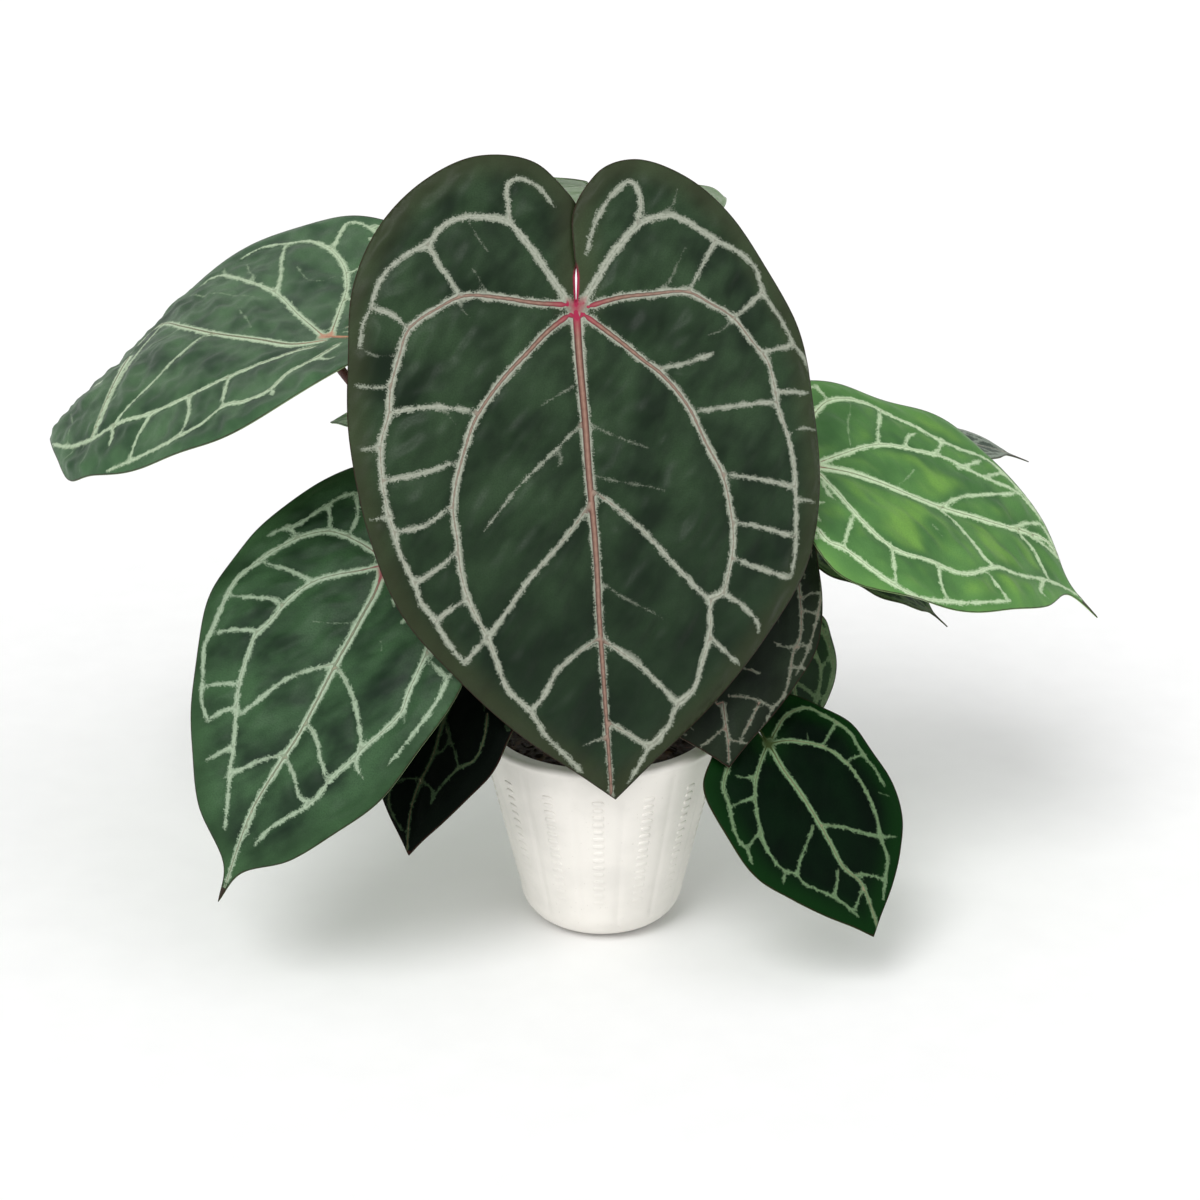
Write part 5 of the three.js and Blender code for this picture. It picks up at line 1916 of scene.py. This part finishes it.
@dataclass(frozen=True)
class BarkMixFinish:
    """Potting bark, milled and damp: it gives near-black matt crumbs and brown fibrous chips."""

    wet: str = "#120c08"
    brown: str = "#3b2618"
    chip: str = "#6b4a31"
    crumb: float = 3.0
    patch: float = 9.0
    patch_rise: Rise = (0.5, 0.62)
    fibre: float = 1.2
    rough_rise: Rise = (0.3, 0.8, 0.62, 0.95)
    bump: Pair = (0.8 * MM, 0.8)

    def material(self) -> Finish:
        """Builds the bark."""
        shade = Shade("potting_bark_milled")
        place = shade.add(Kind.PLACE)
        crumbs = shade.add(Kind.NOISE, place, per_mm(self.crumb), 4.0, 0.65)
        patches = shade.patches(place, self.patch, self.patch_rise, 2.0)
        long = shade.add(Kind.DRAWN, place, (0.0, 0.0, 0.0), (4.0, 1.0, 1.0))
        fibres = shade.add(Kind.NOISE, long, per_mm(self.fibre), 3.0)
        colour = shade.add(Kind.BLEND, crumbs, linear(self.wet), linear(self.brown))
        colour = shade.add(Kind.BLEND, shade.add(Kind.TIMES, patches, fibres), colour, linear(self.chip))
        return shade.finish(
            Base_Color=colour, Roughness=shade.add(Kind.RISE, crumbs, *self.rough_rise),
            Normal=shade.add(Kind.BUMP, shade.add(Kind.PLUS, crumbs, fibres), *self.bump), IOR=1.45,
        )


@dataclass
class BarkMix:
    """The bark mix that fills the pot: a lumpy bed with chips scattered on it."""

    around: int = 96
    rings: int = 30
    mound: float = 2.5
    lumps: tuple[Place, ...] = ((7.0, 2.2, 0.0), (3.0, 1.0, 5.0))
    chips: float = 26000.0
    chip_tilt: float = 0.5
    chip_turn: float = 6.28
    chip_sizes: Pair = (0.45, 1.25)
    seed: int = 11
    bark: BarkMixFinish = BarkMixFinish()

    def bed(self) -> Piece:
        """Builds the closed bed: its lumpy top, its side inside the wall and its flat underside."""
        edge = Planter.radius(SOIL_LEVEL - 1) - WALL_THICK - FIT_GAP * 1.3
        foot = Planter.radius(30) - WALL_THICK - FIT_GAP
        base = FLOOR_THICK + FIT_GAP
        rings = [(foot - 14, base), (foot, 30 + FIT_GAP), (edge, SOIL_LEVEL - 2)]
        rings += [(edge * (1 - i / self.rings), SOIL_LEVEL) for i in range(self.rings)]
        places = [(0.0, 0.0, base)]
        for index, (radius, z) in enumerate(rings):
            for k in range(self.around):
                a = 2 * math.pi * k / self.around
                x, y = radius * math.cos(a), radius * math.sin(a)
                rise = 0.0
                if index > 2:
                    share = 1 - radius / edge
                    rough = sum(high * noise.noise(Vector((x / w, y / w, at))) for w, high, at in self.lumps)
                    rise = self.mound * min(share * 2, 1) + rough * min(share * 12, 1)
                places.append((x, y, z + rise))
        places.append((0.0, 0.0, SOIL_LEVEL + 3))
        return keep_mesh("bark_bed", np.array(places), ring_faces(len(rings), self.around))

    def chip(self) -> Piece:
        """Builds one chip: a flat rough splinter of bark."""
        corners = (
            (-3.4, -1.1, 0.0), (-1.0, -1.9, 0.2), (2.9, -1.2, 0.0), (3.6, 0.7, 0.3), (0.6, 1.8, 0.0),
            (-2.8, 1.2, 0.2),
        )
        places = [(x, y, z - 0.6) for x, y, z in corners]
        places += [(x * 0.8, y * 0.7, z + 0.9) for x, y, z in corners]
        faces = [[5, 4, 3, 2, 1, 0], [6, 7, 8, 9, 10, 11]]
        faces += [[k, (k + 1) % 6, 6 + (k + 1) % 6, 6 + k] for k in range(6)]
        return keep_mesh("bark_chip", np.array(places), faces, smooth=False)

    def scatter_tree(self) -> Tree:
        """Builds the tree that scatters chips over the bed's top."""
        inputs = {
            "Bed": "Geometry", "Chip": "Object", "Chips a square metre": "Float", "Seed": "Int",
            "Bark": "Material",
        }
        tree, given = open_tree("bark_scatter", inputs, "Mix")
        place = add_node(tree, "GeometryNodeInputPosition")
        parts = add_node(tree, "ShaderNodeSeparateXYZ", {0: place.outputs[0]})
        flat = add_node(tree, "ShaderNodeCombineXYZ", {"X": parts.outputs[0], "Y": parts.outputs[1]})
        out = add_node(tree, "ShaderNodeVectorMath", {0: flat.outputs[0]}, operation="LENGTH")
        above = {0: parts.outputs[2], 1: (SOIL_LEVEL - 1.5) * MM}
        high = add_node(tree, "FunctionNodeCompare", above, operation="GREATER_THAN")
        reach = (Planter.radius(SOIL_LEVEL) - WALL_THICK - 5) * MM
        within = {0: out.outputs["Value"], 1: reach}
        near = add_node(tree, "FunctionNodeCompare", within, operation="LESS_THAN")
        tests = {0: high.outputs[0], 1: near.outputs[0]}
        both = add_node(tree, "FunctionNodeBooleanMath", tests, operation="AND")
        points = add_node(tree, "GeometryNodeDistributePointsOnFaces", {
            "Mesh": given["Bed"], "Selection": both.outputs[0],
            "Density": given["Chips a square metre"], "Seed": given["Seed"],
        })
        tilt, seed = self.chip_tilt, given["Seed"]
        turns = {0: (-tilt, -tilt, 0.0), 1: (tilt, tilt, self.chip_turn), "Seed": seed}
        turn = add_node(tree, "FunctionNodeRandomValue", turns, data_type="FLOAT_VECTOR")
        sizes = {2: self.chip_sizes[0], 3: self.chip_sizes[1], "Seed": seed}
        size = add_node(tree, "FunctionNodeRandomValue", sizes, data_type="FLOAT")
        shape = add_node(tree, "GeometryNodeObjectInfo", {"Object": given["Chip"]})
        placed = add_node(tree, "GeometryNodeInstanceOnPoints", {
            "Points": points.outputs["Points"], "Instance": shape.outputs["Geometry"],
            "Rotation": turn.outputs[0], "Scale": size.outputs[1],
        })
        joined = add_node(tree, "GeometryNodeJoinGeometry")
        tree.links.new(given["Bed"], joined.inputs[0])
        tree.links.new(placed.outputs[0], joined.inputs[0])
        close_tree(tree, joined.outputs[0], given["Bark"])
        return tree

    def build(self) -> Piece:
        """Builds the mix and gives it its finish and its place in the frame."""
        chip = self.chip()
        values = {
            "Chip": chip, "Chips a square metre": self.chips, "Seed": self.seed, "Bark": self.bark.material(),
        }
        piece = grow(self.bed(), self.scatter_tree(), "bark_mix_bed", values)
        bpy.data.objects.remove(chip)
        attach(piece, "root")
        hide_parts("soil")
        return piece


@dataclass(frozen=True)
class PaperySheath:
    """Dried sheath leaves: they give a dull papery straw brown with dark lengthwise fibres."""

    straw: str = "#8a6d42"
    brown: str = "#4a3219"
    green: str = "#5b6a34"
    fibre: float = 0.8
    moss: float = 7.0
    moss_rise: Rise = (0.4, 0.7, 0.0, 0.5)
    rough_rise: Rise = (0.2, 0.8, 0.6, 0.85)
    bump: Pair = (0.3 * MM, 0.7)

    def material(self) -> Finish:
        """Builds the sheaths' material."""
        shade = Shade("papery_sheath_dried")
        place = shade.add(Kind.PLACE)
        long = shade.add(Kind.DRAWN, place, (0.0, 0.0, 0.0), (1.0, 1.0, 10.0))
        fibres = shade.add(Kind.NOISE, long, per_mm(self.fibre), 3.0, 0.6)
        moss = shade.patches(place, self.moss, self.moss_rise, 2.0)
        colour = shade.add(Kind.BLEND, fibres, linear(self.brown), linear(self.straw))
        colour = shade.add(Kind.BLEND, moss, colour, linear(self.green))
        return shade.finish(
            Base_Color=colour, Roughness=shade.add(Kind.RISE, fibres, *self.rough_rise),
            Normal=shade.add(Kind.BUMP, fibres, *self.bump), IOR=1.45,
        )


@dataclass
class Crown:
    """The crown: a short ringed stem with pointed papery sheaths standing at its top."""

    around: int = 32
    sheaths: int = 4
    sheath_length: float = 24.0
    sheath_radius: float = 2.6
    sheath_lean: float = 9.0
    paper: PaperySheath = PaperySheath()

    def stem(self) -> tuple[list, list]:
        """Turns the stem with a ridge at each old leaf scar."""
        levels = np.linspace(SOIL_LEVEL - BURIED, CROWN_TOP, 40)
        places: list = [(0.0, 0.0, levels[0])]
        for z in levels:
            draw = float(softstep(SOIL_LEVEL + 6, CROWN_TOP, np.array([z]))[0]) * 5
            scar = 0.35 * math.sin(z * 1.3)
            for k in range(self.around):
                a = 2 * math.pi * k / self.around
                radius = CROWN_RADIUS - 0.4 - draw + scar * (1 - draw / 6) + 0.2 * math.sin(5 * a + z)
                radius = min(radius, CROWN_RADIUS - draw * 0.8)
                places.append((radius * math.cos(a), radius * math.sin(a), z))
        places.append((0.0, 0.0, CROWN_TOP + 0.8))
        return places, ring_faces(len(levels), self.around)

    def build(self) -> Piece:
        """Builds the crown and gives it its finish and its place in the frame."""
        places, faces = self.stem()
        steps, sides = 12, 12
        for index in range(self.sheaths):
            a = index * 2 * math.pi / self.sheaths + 0.4
            out = np.array([math.cos(a), math.sin(a), 0.0])
            lean = math.radians(self.sheath_lean)
            along = out * math.sin(lean) + np.array([0, 0, math.cos(lean)])
            side = np.cross(along, out)
            side /= np.linalg.norm(side)
            flank = np.cross(side, along)
            foot = out * 3 + np.array([0, 0, CROWN_TOP - 10])
            start = len(places)
            for step in range(steps + 1):
                share = step / steps
                radius = self.sheath_radius * max(1 - share**1.5, 0.04)
                for k in range(sides):
                    b = 2 * math.pi * k / sides
                    ridge = 1 + 0.12 * math.cos(4 * b)
                    spot = foot + along * self.sheath_length * share * 0.97
                    spot = spot + (side * math.cos(b) + flank * math.sin(b) * 0.8) * radius * ridge
                    places.append(tuple(spot))
            for step in range(steps):
                for k in range(sides):
                    after = (k + 1) % sides
                    low = start + step * sides
                    high = low + sides
                    faces.append([low + k, low + after, high + after, high + k])
            faces.append([start + k for k in range(sides)][::-1])
            faces.append([start + steps * sides + k for k in range(sides)])
        piece = keep_mesh("crown_stem", np.array(places), faces)
        piece.data.materials.append(self.paper.material())
        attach(piece, "root")
        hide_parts("crown")
        return piece


@dataclass
class Studio:
    """A plain pale floor, soft lights and the camera at the photograph's angle."""

    floor_size: float = 14.0
    board: tuple[str, str] = ("#fbfbfb", "#f6f6f6")
    board_rough: float = 0.9
    world_light: float = 0.6

    def floor(self) -> None:
        """Lays the floor: rolled paint on board, which gives a matt white with a faint grain."""
        half = self.floor_size / 2 / MM
        corners = np.array([(-half, -half, 0), (half, -half, 0), (half, half, 0), (-half, half, 0)], float)
        piece = keep_mesh("studio_floor", corners, [[0, 1, 2, 3]], smooth=False)
        shade = Shade("painted_board_rolled")
        place = shade.add(Kind.PLACE)
        grain = shade.add(Kind.NOISE, place, per_mm(30.0), 2.0)
        colour = shade.add(Kind.BLEND, grain, linear(self.board[0]), linear(self.board[1]))
        piece.data.materials.append(shade.finish(Base_Color=colour, Roughness=self.board_rough))

    @staticmethod
    def lamp(name: str, place: Place, spread: float, power: float) -> None:
        """Hangs one soft far light that faces the plant.

        Args:
            name: The light's name.
            place: The direction that it shines from.
            spread: How wide it looks from the plant, in degrees.
            power: Its strength in watts a square metre.
        """
        light = bpy.data.lights.new(name, "SUN")
        light.angle = math.radians(spread)
        light.energy = power
        lamp = bpy.data.objects.new(name, light)
        lamp.location = place
        lamp.rotation_euler = (-Vector(place)).to_track_quat("-Z", "Y").to_euler()
        bpy.context.scene.collection.objects.link(lamp)

    def build(self) -> None:
        """Builds the studio."""
        self.floor()
        self.lamp("key_light", place=(-0.9, -1.7, 2.6), spread=32.0, power=1.4)
        self.lamp("fill_light", place=(1.4, -1.2, 1.6), spread=70.0, power=0.6)
        self.lamp("low_light", place=(-1.9, -1.4, 0.5), spread=60.0, power=0.45)
        world = bpy.data.worlds.new("studio_world")
        world.use_nodes = True
        sky = world.node_tree.nodes["Background"]
        sky.inputs["Color"].default_value = (1.0, 1.0, 1.0, 1.0)
        sky.inputs["Strength"].default_value = self.world_light
        scene = bpy.context.scene
        scene.world = world
        scene.view_settings.view_transform = "Standard"
        camera = bpy.data.objects.new("camera", bpy.data.cameras.new("camera"))
        camera.data.lens = SIGHT.focal
        camera.data.sensor_width = SIGHT.sensor
        camera.location = SIGHT.eye() * MM
        camera.rotation_euler = (math.pi / 2 - math.radians(SIGHT.elevation), 0.0, 0.0)
        scene.collection.objects.link(camera)
        scene.camera = camera


def main() -> None:
    """Builds the plant in order."""
    logging.basicConfig(level=logging.INFO, format="%(name)s: %(message)s")
    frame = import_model()
    LOG.info("frame: %d nodes", len(frame["nodes"]))
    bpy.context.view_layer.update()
    Studio().build()
    for piece in (Planter().build(), BarkMix().build(), Crown().build()):
        LOG.info("%s: %d faces", piece.name, len(piece.data.polygons))
    Stalks().build()
    blades = [Blade(spec) for spec in PLANT]
    seen = {blade.spec.name: blade.seen_outline() for blade in blades}
    for blade in blades:
        piece = blade.build([seen[name] for name in blade.spec.covers])
        blade.dress(piece)
        LOG.info("%s: %d faces", piece.name, len(piece.data.polygons))
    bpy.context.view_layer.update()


if __name__ == "__main__":
    main()
